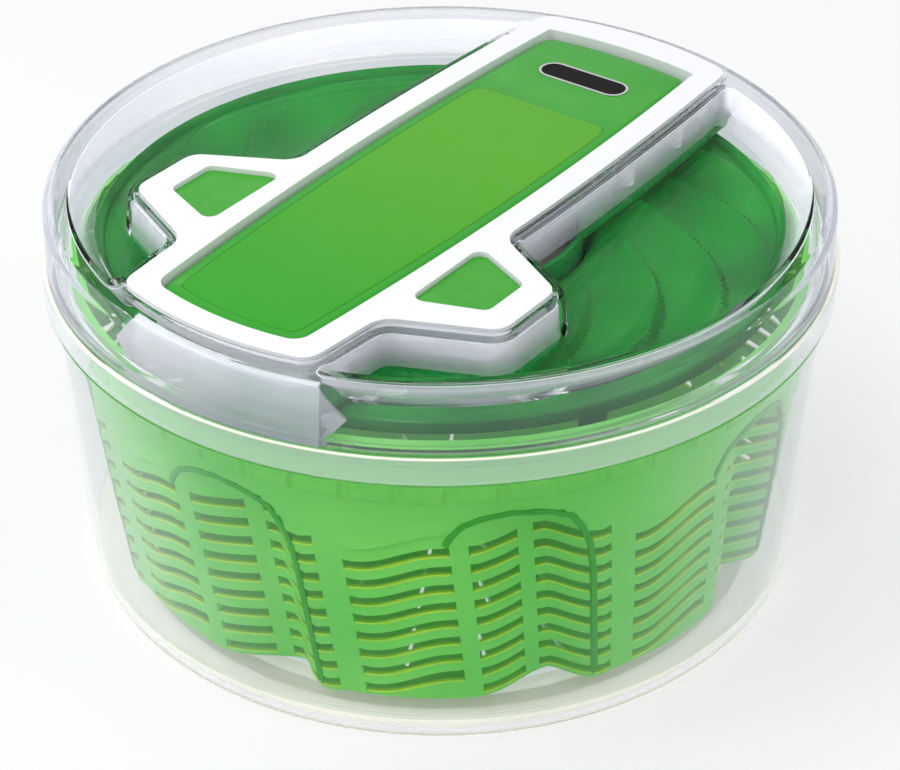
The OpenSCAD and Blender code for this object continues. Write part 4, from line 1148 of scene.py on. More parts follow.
@dataclass
class Lid:
    """The clear lid: a rolled rim, a skirt and a recess on each side of the frame."""

    paint: Paint
    plan: Plan
    steps: int = FINE_TURN
    seat_z: float = 115.7
    bead: tuple[Point2, ...] = (
        (2.5, 137.0), (2.25, 137.06), (1.9, 137.4), (1.4, 137.6),
        (0.9, 137.45), (0.45, 137.0), (0.3, 136.6), (0.3, 135.2),
    )
    ledge: tuple[Point2, ...] = (
        (-2.2, 135.0), (-2.2, 133.0), (0.8, 133.0), (0.95, 133.2), (0.95, 135.0)
    )
    basin: tuple[Level, ...] = (
        (137.0, 3.0, 119.9), (136.93, 3.25, 119.55), (136.6, 3.65, 119.1),
        (136.0, 3.9, 118.75), (131.0, 4.35, 115.4), (126.0, 4.8, 112.0),
        (124.6, 5.1, 110.9), (123.6, 5.8, 109.9), (123.1, 6.9, 108.8), (123.0, 8.2, 107.4),
    )
    belly: tuple[Level, ...] = (
        (121.0, 6.4, 109.2), (121.1, 4.9, 110.7), (121.8, 3.6, 111.9), (123.2, 3.0, 112.7),
        (126.0, 2.7, 114.4), (131.0, 2.25, 117.6), (134.2, 1.95, 119.8),
        (134.8, 1.7, 120.2), (135.0, 1.3, 120.7),
    )
    haze: tuple[Level, ...] = (
        (123.4, 2.8, 112.95), (126.0, 2.5, 114.6), (131.0, 2.05, 117.8), (134.0, 1.8, 119.9)
    )
    rim_veil: tuple[Point2, ...] = (
        (128.2, 116.3), (127.9, 121.0), (127.4, 133.2), (126.3, 135.2), (124.9, 136.2)
    )
    screen_outer: tuple[Point2, ...] = (
        (121.9, 112.0), (121.9, 122.0), (121.9, 130.4), (121.2, 131.6), (118.6, 132.2)
    )
    screen_inner: tuple[Point2, ...] = (
        (118.6, 131.6), (120.6, 131.0), (121.1, 130.0), (121.1, 122.0), (121.1, 112.0)
    )
    haze_thick: float = 0.3
    rim_veil_thick: float = 0.15
    screen_ends: tuple[Point2, ...] = ((-86.4, 18.7), (90.0, 18.5))
    screen_tip: float = 122.0
    screen_tip_deg: float = 4.0
    screen_tip_half: float = 9.0
    screen_back_deg: float = 2.5
    screen_slices: int = 28

    def build(self) -> None:
        """Makes the lid, the whitish layer under its recess walls, the painted reflection inside
        its rim and its end screens.
        """
        self._body()
        self._haze()
        self._rim_reflection()
        self._screens()

    def _body(self) -> None:
        """The lid itself, as one closed shell."""
        shell = Shell()
        rim = fillet(
            [
                (122.7, 135.0, 0.0),
                (124.1, 134.8, 0.8),
                (125.6, 132.6, 2.0),
                (126.8, 117.7, 0.6),
                (122.4, 117.7, 0.6),
                (122.4, 109.0, 0.5),
                (124.2, 109.0, 0.5),
                (124.2, self.seat_z, 0.3),
                (128.8, self.seat_z, 0.5),
                (127.9, 134.0, 2.6),
                (124.9, 136.85, 3.0),
                (124.1, 137.0, 0.0),
            ],
            7,
        )
        rings = [shell.ring(circle(r, self.steps), z) for r, z in rim]
        shell.stack(rings)
        hole = [shell.ring(self.plan.stem(g), z) for g, z in (*self.bead, *self.ledge)]
        shell.stack(hole)
        outside: list[list[int]] = []
        inside: list[list[int]] = []
        for mirror in (False, True):
            outside.append(self._recess(shell, self.basin, mirror, True))
            inside.append(self._recess(shell, self.belly, mirror, False))
        shell.fill([rings[-1], hole[0], *outside], True)
        shell.fill([rings[0], hole[-1], *inside], False)
        piece = self.paint.make(shell, "clear_lid", Finish.CLEAR, 32.0)
        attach(piece, "lid")
        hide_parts("lid_shell")

    def _haze(self) -> None:
        """A thin veil just under the sloping walls, where the clear plastic looks milky."""
        shell = Shell()
        thick = self.haze_thick
        inner = [(z, grow - thick, reach + thick) for z, grow, reach in reversed(self.haze)]
        for mirror in (False, True):
            rings = self._rings(shell, [*self.haze, *inner], mirror)
            shell.bridge(rings[-1], rings[0])
        piece = self.paint.make(shell, "lid_recess_walls", Finish.HAZE, 32.0)
        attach(piece, "lid")

    def _rim_reflection(self) -> None:
        """A thin veil inside the rim's upright wall that carries a painted reflection."""
        shell = Shell()
        inner = [(r - self.rim_veil_thick, z) for r, z in reversed(self.rim_veil)]
        shell.lathe([*self.rim_veil, *inner])
        piece = self.paint.make(shell, "lid_rim_painted_reflection", Finish.RIM)
        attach(piece, "lid")

    def _screens(self) -> None:
        """The white screens that close the stem's two ends just inside the rim."""
        shell = Shell()
        for middle, half in self.screen_ends:
            slices: list[list[int]] = []
            for k in range(self.screen_slices + 1):
                section: list[Point3] = []
                for r, z in (*self.screen_outer, *self.screen_inner):
                    near = max(0.0, 1.0 - abs(z - self.screen_tip) / self.screen_tip_half)
                    wide = half - self.screen_back_deg + self.screen_tip_deg * near
                    angle = math.radians(middle + mix(-wide, wide, k / self.screen_slices))
                    section.append(at_angle(r, angle, z))
                slices.append(shell.path(section))
            for one, two in zip(slices, slices[1:]):
                shell.bridge(two, one)
            shell.close_ends(slices[0], slices[-1])
        piece = self.paint.make(shell, "stem_end_screens", Finish.SCREEN)
        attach(piece, "lid")

    def _rings(self, shell: Shell, levels: Sequence[Level], mirror: bool) -> list[list[int]]:
        """Adds a recess outline at each level of (height, stem growth, reach)."""
        rings = []
        for z, grow, reach in levels:
            loop = self.plan.pocket(grow, reach)
            rings.append(shell.ring(mirrored(loop) if mirror else loop, z))
        shell.stack(rings)
        return rings

    def _recess(
        self, shell: Shell, levels: Sequence[Level], mirror: bool, upper: bool
    ) -> list[int]:
        """Adds the upper or under side of one recess, with its floor.

        Args:
            shell: Where the faces go.
            levels: Rows of height, stem growth and reach.
            mirror: True for the left recess.
            upper: True for the side that is seen from above.

        Returns:
            The rim's point numbers.
        """
        rings = self._rings(shell, levels, mirror)
        floor, rim = (rings[-1], rings[0]) if upper else (rings[0], rings[-1])
        shell.cap(floor, upper)
        return rim


@dataclass
class Disc:
    """The green disc that drives the basket, with swirling folds on its upper side."""

    paint: Paint
    reach: float = 114.0
    top: float = 118.2
    sunk: float = 1.9
    thick: float = 2.2
    cup: float = 49.5
    bore: float = 4.06
    steps: int = 240
    folds: int = 12
    fold_start: float = 58.0
    fold_end: float = 5.0
    tabs: int = 6
    tab: tuple[Point3, Point3] = ((111.0, -4.0, 104.0), (113.8, 4.0, 116.2))
    fold_rings: int = 44
    ridge_height: float = 6.4
    dip: float = 4.6
    swirl: Point2 = (0.75, 0.35)
    crest: Point2 = (0.9, 0.1)
    rise: float = 2.2
    swell: float = 0.6

    def _fold(self, radius: float, angle: float) -> float:
        """Height of the swirling folds above the plate."""
        inner, outer = self.fold_start, self.reach - self.fold_end
        if radius <= inner or radius >= outer:
            return 0.0
        share = (radius - inner) / (outer - inner)
        twist = self.swirl[0] * share + self.swirl[1] * share * share
        turn = (angle + twist) * self.folds / math.tau
        saw = turn - math.floor(turn)
        ridge = saw ** self.rise * (1.0 - smoothstep((saw - self.crest[0]) / self.crest[1]))
        hump = math.sin(math.pi * share)
        return self.ridge_height * ridge * hump ** self.swell - self.dip * hump ** 2

    def _ring(self, radius: float, height: float, wave: float = 0.0) -> list[Point3]:
        """A ring of the disc; a wave of 1 makes its height follow the folds."""
        angles = [math.tau * k / self.steps for k in range(self.steps)]
        return [at_angle(radius, a, height + wave * self._fold(radius, a)) for a in angles]

    def build(self) -> None:
        """Makes the disc with its tabs; the folds show on both sides of the plate."""
        low = box_mm("drive_disc")[0].z
        plate = self.top - self.sunk
        under = plate - self.thick
        rim, cup = self.reach, self.cup
        span, count = rim - 4.0 - cup - 3.0, self.fold_rings
        radii = [rim - 4.0 - span * k / count for k in range(count + 1)]
        section = [
            *[(self.bore, low), (cup + 1.2, low), (cup + 2.2, low + 1.0)],
            *[(cup + 2.2, under - 1.2), (cup + 3.4, under)],
            *[(r, under, 1.0) for r in reversed(radii)],
            *[(rim - 3.0, under - 0.6), (rim - 0.4, under - 0.6), (rim, under)],
            *[(rim, self.top - 0.5), (rim - 0.5, self.top), (rim - 2.6, self.top)],
            (rim - 3.2, self.top - 0.4),
            *[(r, plate, 1.0) for r in radii],
            *[(cup + 1.2, plate - 0.5), (cup, plate - 1.8), (cup, low + 3.2)],
            *[(cup - 1.0, low + 2.2), (self.bore, low + 2.2)],
        ]
        shell = Shell()
        rings = [shell.path(self._ring(*spot)) for spot in section]
        shell.stack([*rings, rings[0]])
        for k in range(self.tabs):
            shell.block(*self.tab, 360.0 / self.tabs * (k + 0.5))
        piece = self.paint.make(shell, "drive_disc_shaped", Finish.DISC)
        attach(piece, "drive")
        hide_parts("drive_disc")


@dataclass
class Lever:
    """The green lever with a rounded top edge, and its pad."""

    paint: Paint
    plan: Plan
    top: float = 136.4
    under: float = 134.0
    skirt: float = 125.8
    hinge: Point2 = (100.5, 130.4)
    nose: float = 6.0
    pad_inset: float = 4.5
    pad_rear: float = 58.0
    pad_thick: float = 0.8
    badge: tuple[float, float, float] = (83.0, 35.0, 11.0)
    badge_sunk: float = 1.0
    slack: float = 0.04
    wall: float = 2.4
    keeper: tuple[Point3, Point3] = ((-33.5, -57.4, 124.0), (-27.0, -48.2, 131.0))
    pad_places: tuple[float, ...] = (-80.0, -55.0, -30.0, -5.0, 20.0, 42.0)
    pad_round: Point2 = (4.0, 5.0)
    pad_steps: int = 6
    pill_steps: int = 32

    def _nosed(self, outline: Sequence[Point2], z: float) -> list[Point3]:
        """Pulls the rear of a level outline in below the hinge, so that it can swing."""
        reach = 1.0
        if z < self.hinge[1]:
            reach = math.sqrt(max(0.0, 1.0 - ((z - self.hinge[1]) / self.nose) ** 2))
        y0 = self.hinge[0]
        return [(x, y if y < y0 else y0 + (y - y0) * reach, z) for x, y in outline]

    def _pad(self, grow: float) -> list[Point2]:
        """The pad's outline: the lever's, drawn in and ended by a rounded rear edge."""
        half = self.plan.lever_half - self.pad_inset
        reach = self.plan.lever_front - self.pad_inset
        front = self.plan.crossing(half, reach, -1.0)
        right = [(self.plan.side_x(half, y), y, 0.0) for y in self.pad_places]
        rear = (self.plan.side_x(half, self.pad_rear), self.pad_rear, self.pad_round[1])
        front_deg = bearing(front) - self.plan.arc_gap_deg
        steps = self.plan.lever_arc_steps
        corners = both_sides(
            [(*front, self.pad_round[0]), *right, rear],
            [],
            arc_corners(0.0, reach, -180.0 - front_deg, front_deg, steps),
        )
        return offset_outline(corners, grow, self.pad_steps)

    def _pill(self, grow: float) -> list[Point2]:
        """The badge's outline, anticlockwise."""
        y, length, width = self.badge
        radius = width / 2.0 + grow
        reach = (length - width) / 2.0
        points = []
        for k in range(self.pill_steps + 1):
            a = math.radians(-90.0 + 180.0 * k / self.pill_steps)
            points.append((reach + radius * math.cos(a), y + radius * math.sin(a)))
        return points + [(-x, 2 * y - v) for x, v in points]

    def _cut_keeper(self, lever: bpy.types.Object) -> None:
        """Cuts the slot in the lever's left wall that the latch bolt enters."""
        tool = Shell()
        tool.block(*self.keeper)
        cutter = tool.build("keeper_tool")
        cut = lever.modifiers.new("keeper", "BOOLEAN")
        cut.operation, cut.solver, cut.object = "DIFFERENCE", "EXACT", cutter
        bpy.context.view_layer.update()
        graph = bpy.context.evaluated_depsgraph_get()
        mesh = bpy.data.meshes.new_from_object(lever.evaluated_get(graph))
        lever.modifiers.clear()
        lever.data = mesh
        bpy.data.objects.remove(cutter)

    def build(self) -> None:
        """Makes the lever and its pad."""
        self._cover()
        self._grip()

    def _cover(self) -> None:
        """The lever itself, hollow from below, with seats for the pad and the badge."""
        shell = Shell()
        top = self.top
        edge = [
            *[(0.0, self.skirt), (0.0, 128.6), (0.0, 130.4), (0.0, top - 2.0)],
            *[(-0.12, top - 1.35), (-0.5, top - 0.72), (-1.1, top - 0.26)],
            *[(-1.9, top - 0.04), (-self.wall, top)],
        ]
        outer = [shell.path(self._nosed(self.plan.lever(g), z)) for g, z in edge]
        shell.stack(outer)
        pad_seat = [(0.12, top), (self.slack, top - 0.1), (self.slack, top - self.pad_thick)]
        pad_walls = [shell.ring(self._pad(g), z) for g, z in pad_seat]
        badge_walls = [shell.ring(self._pill(self.slack), z) for z in (top, top - self.badge_sunk)]
        for walls in (pad_walls, badge_walls):
            shell.stack(walls)
            shell.cap(walls[-1], True)
        shell.fill([outer[-1], pad_walls[0], badge_walls[0]], True)
        limit = self.hinge[0] - self.nose
        room = [(x, min(y, limit)) for x, y in self.plan.lever(-self.wall)]
        hollow = [shell.ring(room, z) for z in (self.under, self.skirt)]
        shell.stack(hollow)
        shell.cap(hollow[0], False)
        shell.fill([outer[0], hollow[-1]], False)
        lever = shell.build("lever_cover")
        self._cut_keeper(lever)
        self.paint.dress(lever, Finish.LEVER)
        LOG.info("%s: %d faces", lever.name, len(lever.data.polygons))
        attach(lever, "lever")
        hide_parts("lever_shell")

    def _grip(self) -> None:
        """The softer pad that is set into the lever."""
        pad, top = Shell(), self.top
        rows = [
            *[(0.0, top - self.pad_thick), (0.0, top - 0.25), (-0.12, top - 0.02)],
            *[(-0.5, top + 0.08), (-1.2, top + 0.1)],
        ]
        rings = [pad.ring(self._pad(g), z) for g, z in rows]
        pad.stack(rings)
        pad.cap(rings[0], False)
        pad.cap(rings[-1], True)
        cover = self.paint.make(pad, "lever_grip_pad", Finish.PAD)
        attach(cover, "lever")
        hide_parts("lever_pad")


class Zone(Enum):
    """The kinds of upright strip that make one repeat of the basket's wall."""

    POST = "post"
    INWARD = "inward slots"
    DEEP_POST = "deep post"
    OUTWARD = "outward fins"
    SHORT = "short fins"
    WIDE_POST = "wide post"
    WAVY = "wavy fins"


Row = tuple[float, int]
Column = tuple[float, Zone]


@dataclass
class Basket:
    """The green basket: a waisted wall with eight folded valleys and rows of fins."""

    paint: Paint
    repeats: int = 8
    start_deg: float = -50.9
    lean_deg: float = 3.0
    deep: float = 9.8
    thick: float = 2.2
    bottom: float = 10.0
    top: float = 112.0
    pitch: float = 7.4
    first_slot: float = 14.2
    slot_half: float = 1.95
    fin_tilt: float = 2.0
    slot_slope: float = 1.8
    radii: tuple[Point2, ...] = ((10.0, 111.4), (48.0, 115.4), (82.0, 118.6), (112.0, 119.9))
    arch: tuple[Point2, ...] = (
        (-2.0, 76.0), (-0.9, 79.8), (0.9, 83.7), (3.8, 86.2), (8.2, 87.6),
        (13.8, 86.0), (17.0, 83.0), (18.8, 76.2), (20.5, 70.0),
    )
    steep_side: tuple[Point2, ...] = (
        (19.7, 70.0), (20.0, 60.0), (20.0, 45.0), (20.0, 30.0), (20.0, 14.0)
    )
    lip_section: tuple[Point2, ...] = (
        (-0.9, 0.35), (0.3, 0.3), (0.5, -0.1), (0.3, -0.5), (-0.9, -0.45)
    )
    hood_section: tuple[Point2, ...] = (
        (-0.8, -1.1), (0.2, -0.9), (0.4, 0.0), (0.2, 0.9), (-0.8, 1.1)
    )
    brick_section: tuple[Point2, ...] = ((0.0, -0.6), (0.0, 0.1), (1.2, 1.0))
    brick_heights: Point2 = (92.0, 98.6)
    bricks: int = 48
    brick_deg: float = 6.3
    slot_rows: int = 9
    fin_breaks: tuple[float, ...] = (0.36, 0.5, 0.64)
    band_rows: tuple[float, ...] = (
        80.6, 82.4, 84.2, 86.0, 88.0, 90.0, 95.0, 101.0, 106.0, 109.0, 110.2, 111.3
    )
    floor_thick: float = 2.2
    drain_half: float = 0.7
    wrap_deg: float = 40.0
    valley_deg: float = 14.0
    steep_deg: float = 6.2
    hood_drop: float = 2.2
    ridge: tuple[float, float, float] = (21.0, 1.6, 1.1)
    post_half: float = 1.4
    fin_heights: Point2 = (12.0, 80.0)
    slope_ends: tuple[Point2, Point2] = ((14.0, 6.0), (92.0, 8.0))
    climb_start: float = 29.0
    climb_run: float = 13.0
    climb_foot: float = 3.0
    climb_end: Point2 = (90.0, 12.0)
    lean_middle: float = 75.0
    lean_top: float = 88.0
    lean_height: float = 65.0
    flare: float = 0.7
    flare_start: float = 110.0
    flare_end: float = 111.0
    flare_run: float = 1.2
    foot_in: Point2 = (0.8, 0.9)
    row_step: float = 0.02
    lip_inset: float = 0.12
    hub_hole: float = 6.5
    drain_rows: int = 3
    drain_start: float = 16.0
    drain_length: float = 22.0
    drain_step: float = 30.0
    drain_nose: float = 0.5
    brick_points: int = 4
    lug_pairs: int = 6
    lug_middle: float = 5.7
    zones: tuple[tuple[Zone, float, float, int], ...] = (
        (Zone.POST, 0.0, 1.4, 1),
        (Zone.INWARD, 1.4, 9.4, 6),
        (Zone.DEEP_POST, 9.4, 12.2, 2),
        (Zone.OUTWARD, 12.2, 19.9, 8),
        (Zone.SHORT, 19.9, 23.2, 2),
        (Zone.WIDE_POST, 23.2, 27.4, 3),
        (Zone.WAVY, 27.4, 43.6, 14),
        (Zone.POST, 43.6, 45.0, 1),
    )

    def _columns(self) -> list[Column]:
        """Places across one repeat with the zone to the right of each."""
        return [
            (mix(low, high, k / count), zone)
            for zone, low, high, count in self.zones
            for k in range(count)
        ]

    def _rows(self) -> list[Row]:
        """Heights with the slot row that starts at each, or -1."""
        rows: list[Row] = [(self.bottom, -1), (11.4, -1)]
        for k in range(self.slot_rows):
            middle = self.first_slot + self.pitch * k
            rows += [(middle - self.slot_half, k), (middle, k), (middle + self.slot_half, -1)]
            rows += [(middle + self.pitch * share, -1) for share in self.fin_breaks]
        return rows + [(z, -1) for z in (*self.band_rows, self.top)]

    def _radius(self, u: float, z: float) -> float:
        """Outer radius of the wall before the fins' tilt."""
        main = self.radii[-1][1]
        for (low, first), (high, second) in zip(self.radii, self.radii[1:]):
            if z <= high:
                main = mix(first, second, (z - low) / (high - low))
                break
        if u > self.wrap_deg:
            u -= 360.0 / self.repeats
        if u <= self.valley_deg:
            fold = smoothstep((u + 0.4) / 14.4)
        else:
            fold = 1.0 - smoothstep((u - self.valley_deg) / self.steep_deg) ** 0.8
        lid = table_value(self.arch, u)
        fold *= smoothstep((lid - z) / self.hood_drop)
        middle, width, proud = self.ridge
        ridge = proud * math.exp(-(((u - middle) / width) ** 2)) * smoothstep((84.0 - z) / 6.0)
        return main - self.deep * fold + ridge

    def _lift(self, u: float, z: float) -> float:
        """How far a row is raised at u, so that the wavy fins climb by one pitch."""
        half, last = self.post_half, 360.0 / self.repeats - self.post_half
        if u < half:
            rise = 1.0 - (u + half) / (2.0 * half)
        elif u > last:
            rise = 1.0 - (u - last) / (2.0 * half)
        else:
            rise = smoothstep((u - self.climb_start) / self.climb_run)
        top, run = self.climb_end
        hold = smoothstep((z - self.bottom) / self.climb_foot) * smoothstep((top - z) / run)
        return self.pitch * rise * hold

    def _has_slot(self, zone: Zone, row: int) -> bool:
        """True where a slot passes through the wall."""
        if row < 0:
            return False
        if zone is Zone.WAVY:
            return row <= self.slot_rows - 2
        return zone in (Zone.INWARD, Zone.OUTWARD, Zone.SHORT)

    def _tilt(self, zone: Zone, z: float) -> float:
        """The fins' lower edges stand out and their upper edges lie in."""
        low, high = self.fin_heights
        if zone in (Zone.POST, Zone.DEEP_POST, Zone.WIDE_POST) or z > high or z < low:
            return 0.0
        share = ((z - self.first_slot) / self.pitch) % 1.0
        return self.fin_tilt * (0.5 - share)

    def _spot(self, degrees: float, radius: float, z: float) -> Point3:
        """A point of the wall at an angle that leans as it goes down."""
        lean = self.lean_deg * (self.lean_middle - min(z, self.lean_top)) / self.lean_height
        return at_angle(radius, math.radians(self.start_deg + degrees + lean), z)

    def _flare(self, height: float) -> float:
        """How far the top edge stands out at this height."""
        if height <= self.flare_start:
            return 0.0
        fade = 1.0 - 0.5 * smoothstep(height - self.flare_end)
        return self.flare * smoothstep((height - self.flare_start) / self.flare_run) * fade

    def _inside(self, z: float, row: int) -> float:
        """The height of the wall's inner side, a little lower so that the slots slope."""
        (low, low_run), (high, high_run) = self.slope_ends
        hold = smoothstep((z - low) / low_run)
        slope = self.slot_slope * hold * smoothstep((high - z) / high_run)
        return max(z - slope, self.bottom + self.floor_thick) + self.row_step * row

    def build(self) -> None:
        """Makes the basket, then its lips with a painted highlight and its hood edges with painted
        shade.
        """
        rows = self._rows()
        self._body(rows)
        self._highlight_lips(rows)
        self._shaded_hoods()

    def _body(self, rows: Sequence[Row]) -> None:
        """The wall and floor with the hub, lugs and raised bricks, as one piece."""
        shell = Shell()
        columns = self._columns()
        width = len(columns) * self.repeats
        outer: list[list[int]] = []
        inner: list[list[int]] = []
        for r, (height, _) in enumerate(rows):
            out_row: list[Point3] = []
            in_row: list[Point3] = []
            for c in range(width):
                u, zone = columns[c % len(columns)]
                before = columns[(c - 1) % len(columns)][1]
                z = height + self._lift(u, height)
                tilt = 0.0 if before is not zone else self._tilt(zone, height)
                radius = self._radius(u, z) + tilt + self._flare(height)
                degrees = u + 360.0 / self.repeats * (c // len(columns))
                foot = self.foot_in if r == 0 else (0.0, 0.0)
                out_row.append(self._spot(degrees, radius - foot[0], z))
                inside = radius - self.thick - foot[1]
                in_row.append(self._spot(degrees, inside, self._inside(z, r)))
            outer.append(shell.path(out_row))
            inner.append(shell.path(in_row))
        self._skin(shell, rows, columns, outer, inner)
        self._floor(shell, outer[0], inner[0])
        hub = [(3.55, 8.1), (7.6, 8.1), (8.0, 8.5), (8.0, 19.0), (7.6, 19.4), (0.0, 19.4)]
        shell.lathe(hub, 48, closed=False)
        shell.lathe([(0.0, 17.4), (3.55, 17.4), (3.55, 8.1)], 48, closed=False)
        self._lugs(shell)
        self._bricks(shell)
        piece = self.paint.make(shell, "green_basket", Finish.BASKET, 38.0)
        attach(piece, "basket")
        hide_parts("basket")

    def _shaded_hoods(self) -> None:
        """The rounded edges that run over every folded valley and down its steep side; their darker
        green is painted shade.
        """
        route = [*self.arch[:8], *self.steep_side]
        shell = Shell()
        for k in range(self.repeats):
            lines: list[list[Point3]] = []
            for proud, side in self.hood_section:
                line: list[Point3] = []
                for n, (u, z) in enumerate(route):
                    before, after = route[max(n - 1, 0)], route[min(n + 1, len(route) - 1)]
                    over = n <= len(route) - len(self.steep_side)
                    radius = self._radius(*((u, z + self.hood_drop) if over else (20.2, z)))
                    step = math.radians(1.0) * radius
                    across, up = (after[0] - before[0]) * step, after[1] - before[1]
                    length = math.hypot(across, up)
                    degrees = u + -up / length * side / step + 360.0 / self.repeats * k
                    line.append(self._spot(degrees, radius + proud, z + across / length * side))
                lines.append(line)
            shell.bar(lines)
        # Painted shade: the darker lever green stands in for the dark band along each hood's edge.
        piece = self.paint.make(shell, "basket_hood_shaded_edges", Finish.LEVER, 60.0)
        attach(piece, "basket")

    def _highlight_lips(self, rows: Sequence[Row]) -> None:
        """Thin polished lips along the lower side of every slot, coloured in a painted highlight
        where the fins catch the light.
        """
        shell = Shell()
        for row, (height, number) in enumerate(rows):
            if number < 0 or rows[row - 1][1] == number:
                continue
            for k, (zone, low, high, count) in product(range(self.repeats), self.zones):
                if not self._has_slot(zone, number):
                    continue
                steps = max(2, count)
                lines: list[list[Point3]] = []
                for proud, up in self.lip_section:
                    line: list[Point3] = []
                    for s in range(steps + 1):
                        u = mix(low + self.lip_inset, high - self.lip_inset, s / steps)
                        z = height + self._lift(u, height)
                        radius = self._radius(u, z) + self._tilt(zone, height) + proud
                        line.append(self._spot(u + 360.0 / self.repeats * k, radius, z + up))
                    lines.append(line)
                shell.bar(lines)
        # The lips carry a painted highlight.
        piece = self.paint.make(shell, "basket_fin_highlight_lips", Finish.FIN_HIGHLIGHT, 60.0)
        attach(piece, "basket")

    def _skin(
        self,
        shell: Shell,
        rows: Sequence[Row],
        columns: Sequence[Column],
        outer: Sequence[Sequence[int]],
        inner: Sequence[Sequence[int]],
    ) -> None:
        """Covers both sides of the wall and lines the slots and the top edge.

        Args:
            shell: Where the faces go.
            rows: Heights and slot rows.
            columns: Places across one repeat.
            outer: Point numbers of the outside, row by row.
            inner: Point numbers of the inside, row by row.
        """
        width = len(outer[0])
        span = len(rows) - 1
        solid = [
            [not self._has_slot(columns[c % len(columns)][1], rows[r][1]) for c in range(width)]
            for r in range(span)
        ]
        for r in range(span):
            for c in range(width):
                n = (c + 1) % width
                if not solid[r][c]:
                    continue
                a, b, d, e = outer[r][c], outer[r][n], outer[r + 1][n], outer[r + 1][c]
                f, g, h, i = inner[r][c], inner[r][n], inner[r + 1][n], inner[r + 1][c]
                shell.faces.append((a, b, d, e))
                shell.faces.append((g, f, i, h))
                if r > 0 and not solid[r - 1][c]:
                    shell.faces.append((b, a, f, g))
                if r == span - 1 or not solid[r + 1][c]:
                    shell.faces.append((e, d, h, i))
                if not solid[r][c - 1]:
                    shell.faces.append((a, e, i, f))
                if not solid[r][n]:
                    shell.faces.append((d, b, g, h))

    def _floor(self, shell: Shell, low: Sequence[int], high: Sequence[int]) -> None:
        """Closes the floor between its two outlines, with drain slots and the hub's hole."""
        under = [list(low)]
        above = [list(high)]
        holes: list[list[Point2]] = [circle(self.hub_hole, 32)]
        half, nose = self.drain_half, self.drain_nose
        for row in range(self.drain_rows):
            count = 12 + 6 * row
            near = self.drain_start + self.drain_step * row
            far = near + self.drain_length
            ends = [
                *[(near, -half), (far - nose, -half), (far, -half + nose)],
                *[(far, half - nose), (far - nose, half), (near, half)],
            ]
            for k in range(count):
                spin = Matrix.Rotation(math.tau * k / count, 2)
                spots = [spin @ Vector(p) for p in ends]
                holes.append([(p.x, p.y) for p in spots])
        for hole in holes:
            upper = shell.ring(hole, self.bottom + self.floor_thick)
            lower = shell.ring(hole, self.bottom)
            shell.bridge(upper, lower)
            above.append(upper)
            under.append(lower)
        shell.fill(under, False)
        shell.fill(above, True)

    def _lugs(self, shell: Shell) -> None:
        """The pairs of lugs that the disc's tabs push."""
        for k, middle in product(range(self.lug_pairs), (-self.lug_middle, self.lug_middle)):
            low, high = (111.0, middle - 1.1, 100.0), (118.4, middle + 1.1, 110.0)
            shell.block(low, high, 360.0 / self.lug_pairs * (k + 0.5))

    def _bricks(self, shell: Shell) -> None:
        """A row of thin raised bricks round the band."""
        low, high = self.brick_heights
        for k in range(self.bricks):
            start = 360.0 / self.bricks * k + 1.0
            rings: list[list[int]] = []
            for inset, proud in self.brick_section:
                loop: list[Point3] = []
                for z, forward in ((low + inset, True), (high - inset, False)):
                    radius = self._radius(30.0, z) + proud
                    shift = math.degrees(inset / radius)
                    for s in range(self.brick_points):
                        t = s / (self.brick_points - 1)
                        t = t if forward else 1.0 - t
                        angle = math.radians(start + mix(shift, self.brick_deg - shift, t))
                        loop.append(at_angle(radius, angle, z))
                rings.append(shell.path(loop))
            shell.stack(rings)
            shell.close_ends(rings[-1], rings[0])


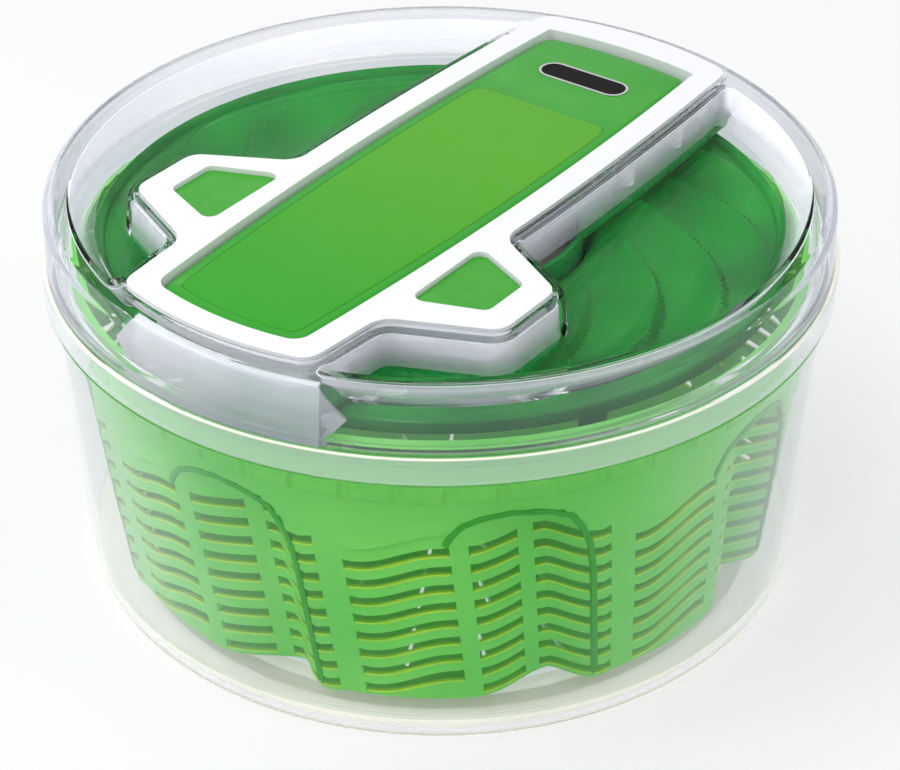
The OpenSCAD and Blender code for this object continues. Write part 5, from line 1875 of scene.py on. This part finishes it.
@dataclass
class Frame:
    """The white T-shaped frame, the buttons and the pieces under them keep their solids."""

    paint: Paint
    plan: Plan
    nodes: dict[str, bpy.types.Object]

    finishes = {
        "foot_ring": Finish.CLEAR_RUBBER, "lever_housing": Finish.WHITE,
        "gearbox_case": Finish.CASE,
        "case_screws": Finish.STEEL, "bearing_plate": Finish.GEAR, "plate_screws": Finish.STEEL,
        "output_bush": Finish.BRONZE, "hinge_pin": Finish.STEEL, "lever_springs": Finish.STEEL,
        "badge_rim": Finish.CHROME, "badge_plate": Finish.BLACK, "lever_rack": Finish.GEAR,
        "rack_screws": Finish.STEEL, "cross_shaft": Finish.STEEL, "rack_pinion": Finish.GEAR,
        "crown_gear": Finish.GEAR, "idler_shaft": Finish.STEEL, "idler_pinion": Finish.GEAR,
        "idler_gear": Finish.GEAR, "clutch_gear": Finish.GEAR, "clutch_rollers": Finish.STEEL,
        "clutch_cap": Finish.GEAR, "output_shaft": Finish.STEEL, "disc_screw": Finish.STEEL,
        "brake_button": Finish.LEVER, "brake_shoe": Finish.SHOE, "brake_spring": Finish.STEEL,
        "lock_button": Finish.LEVER, "lock_springs": Finish.STEEL, "latch_bolt": Finish.GEAR,
    }
    softened = {"brake_button": 0.6, "lock_button": 0.6, "badge_rim": 0.25, "gearbox_case": 0.4}
    top: float = 138.0
    top_round: float = 2.2
    top_slack: float = 0.05
    flat_dot: float = 0.7
    skirt: tuple[Point2, ...] = (
        (-2.6, 134.9), (-2.7, 129.4), (-2.9, 129.0), (-3.5, 129.0), (-3.7, 129.4), (-3.8, 134.9)
    )

    def build(self) -> None:
        """Dresses the carried solids and softens the edges that show."""
        for name, finish in self.finishes.items():
            self.paint.dress(self.nodes[name], finish)
            LOG.info("dressed %s", name)
        for name, width in self.softened.items():
            soft = self.nodes[name].modifiers.new("soft_edges", "BEVEL")
            soft.width = width * MM
            soft.segments = 3
            soft.limit_method = "ANGLE"
            soft.angle_limit = math.radians(40.0)
            soft.harden_normals = False
            LOG.info("softened %s", name)
        self._round_top()
        self._skirt()

    def _round_top(self) -> None:
        """Rounds only the edges of the frame's upper face."""
        frame = self.nodes["lever_housing"]
        mesh = frame.data
        weights = mesh.attributes.new("bevel_weight_edge", "FLOAT", "EDGE")
        turn: dict[tuple[int, int], list[Vector]] = {}
        for face in mesh.polygons:
            for key in face.edge_keys:
                turn.setdefault(key, []).append(face.normal)
        count = 0
        for edge in mesh.edges:
            level = min(mesh.vertices[v].co.z for v in edge.vertices)
            sides = turn[edge.key]
            if level <= (self.top - self.top_slack) * MM or len(sides) != 2:
                continue
            if sides[0].dot(sides[1]) < self.flat_dot:
                weights.data[edge.index].value = 1.0
                count += 1
        soft = frame.modifiers.new("rounded_top", "BEVEL")
        soft.width = self.top_round * MM
        soft.segments = 4
        soft.profile = 0.32
        soft.limit_method = "WEIGHT"
        soft.use_clamp_overlap = False
        LOG.info("frame: %d top edges rounded", count)

    def _skirt(self) -> None:
        """The rim that stiffens the frame from below, just inside the lid's ledge."""
        shell = Shell()
        rings = [shell.ring(self.plan.stem(g), z) for g, z in self.skirt]
        shell.stack(list(reversed(rings)))
        shell.bridge(rings[0], rings[-1])
        piece = self.paint.make(shell, "frame_skirt", Finish.WHITE)
        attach(piece, "lid")


# ------------------------------------------------------------------ main


def main() -> None:
    """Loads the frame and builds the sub-assemblies in order."""
    logging.basicConfig(level=logging.INFO, format="%(name)s: %(message)s")
    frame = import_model()
    bpy.context.scene.view_settings.view_transform = "Standard"
    Studio().build()
    paint = Paint(GroupShelf())
    plan = Plan()
    Bowl(paint).build()
    Basket(paint).build()
    Disc(paint).build()
    Lid(paint, plan).build()
    Frame(paint, plan, frame["nodes"]).build()
    Lever(paint, plan).build()
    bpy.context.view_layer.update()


if __name__ == "__main__":
    main()
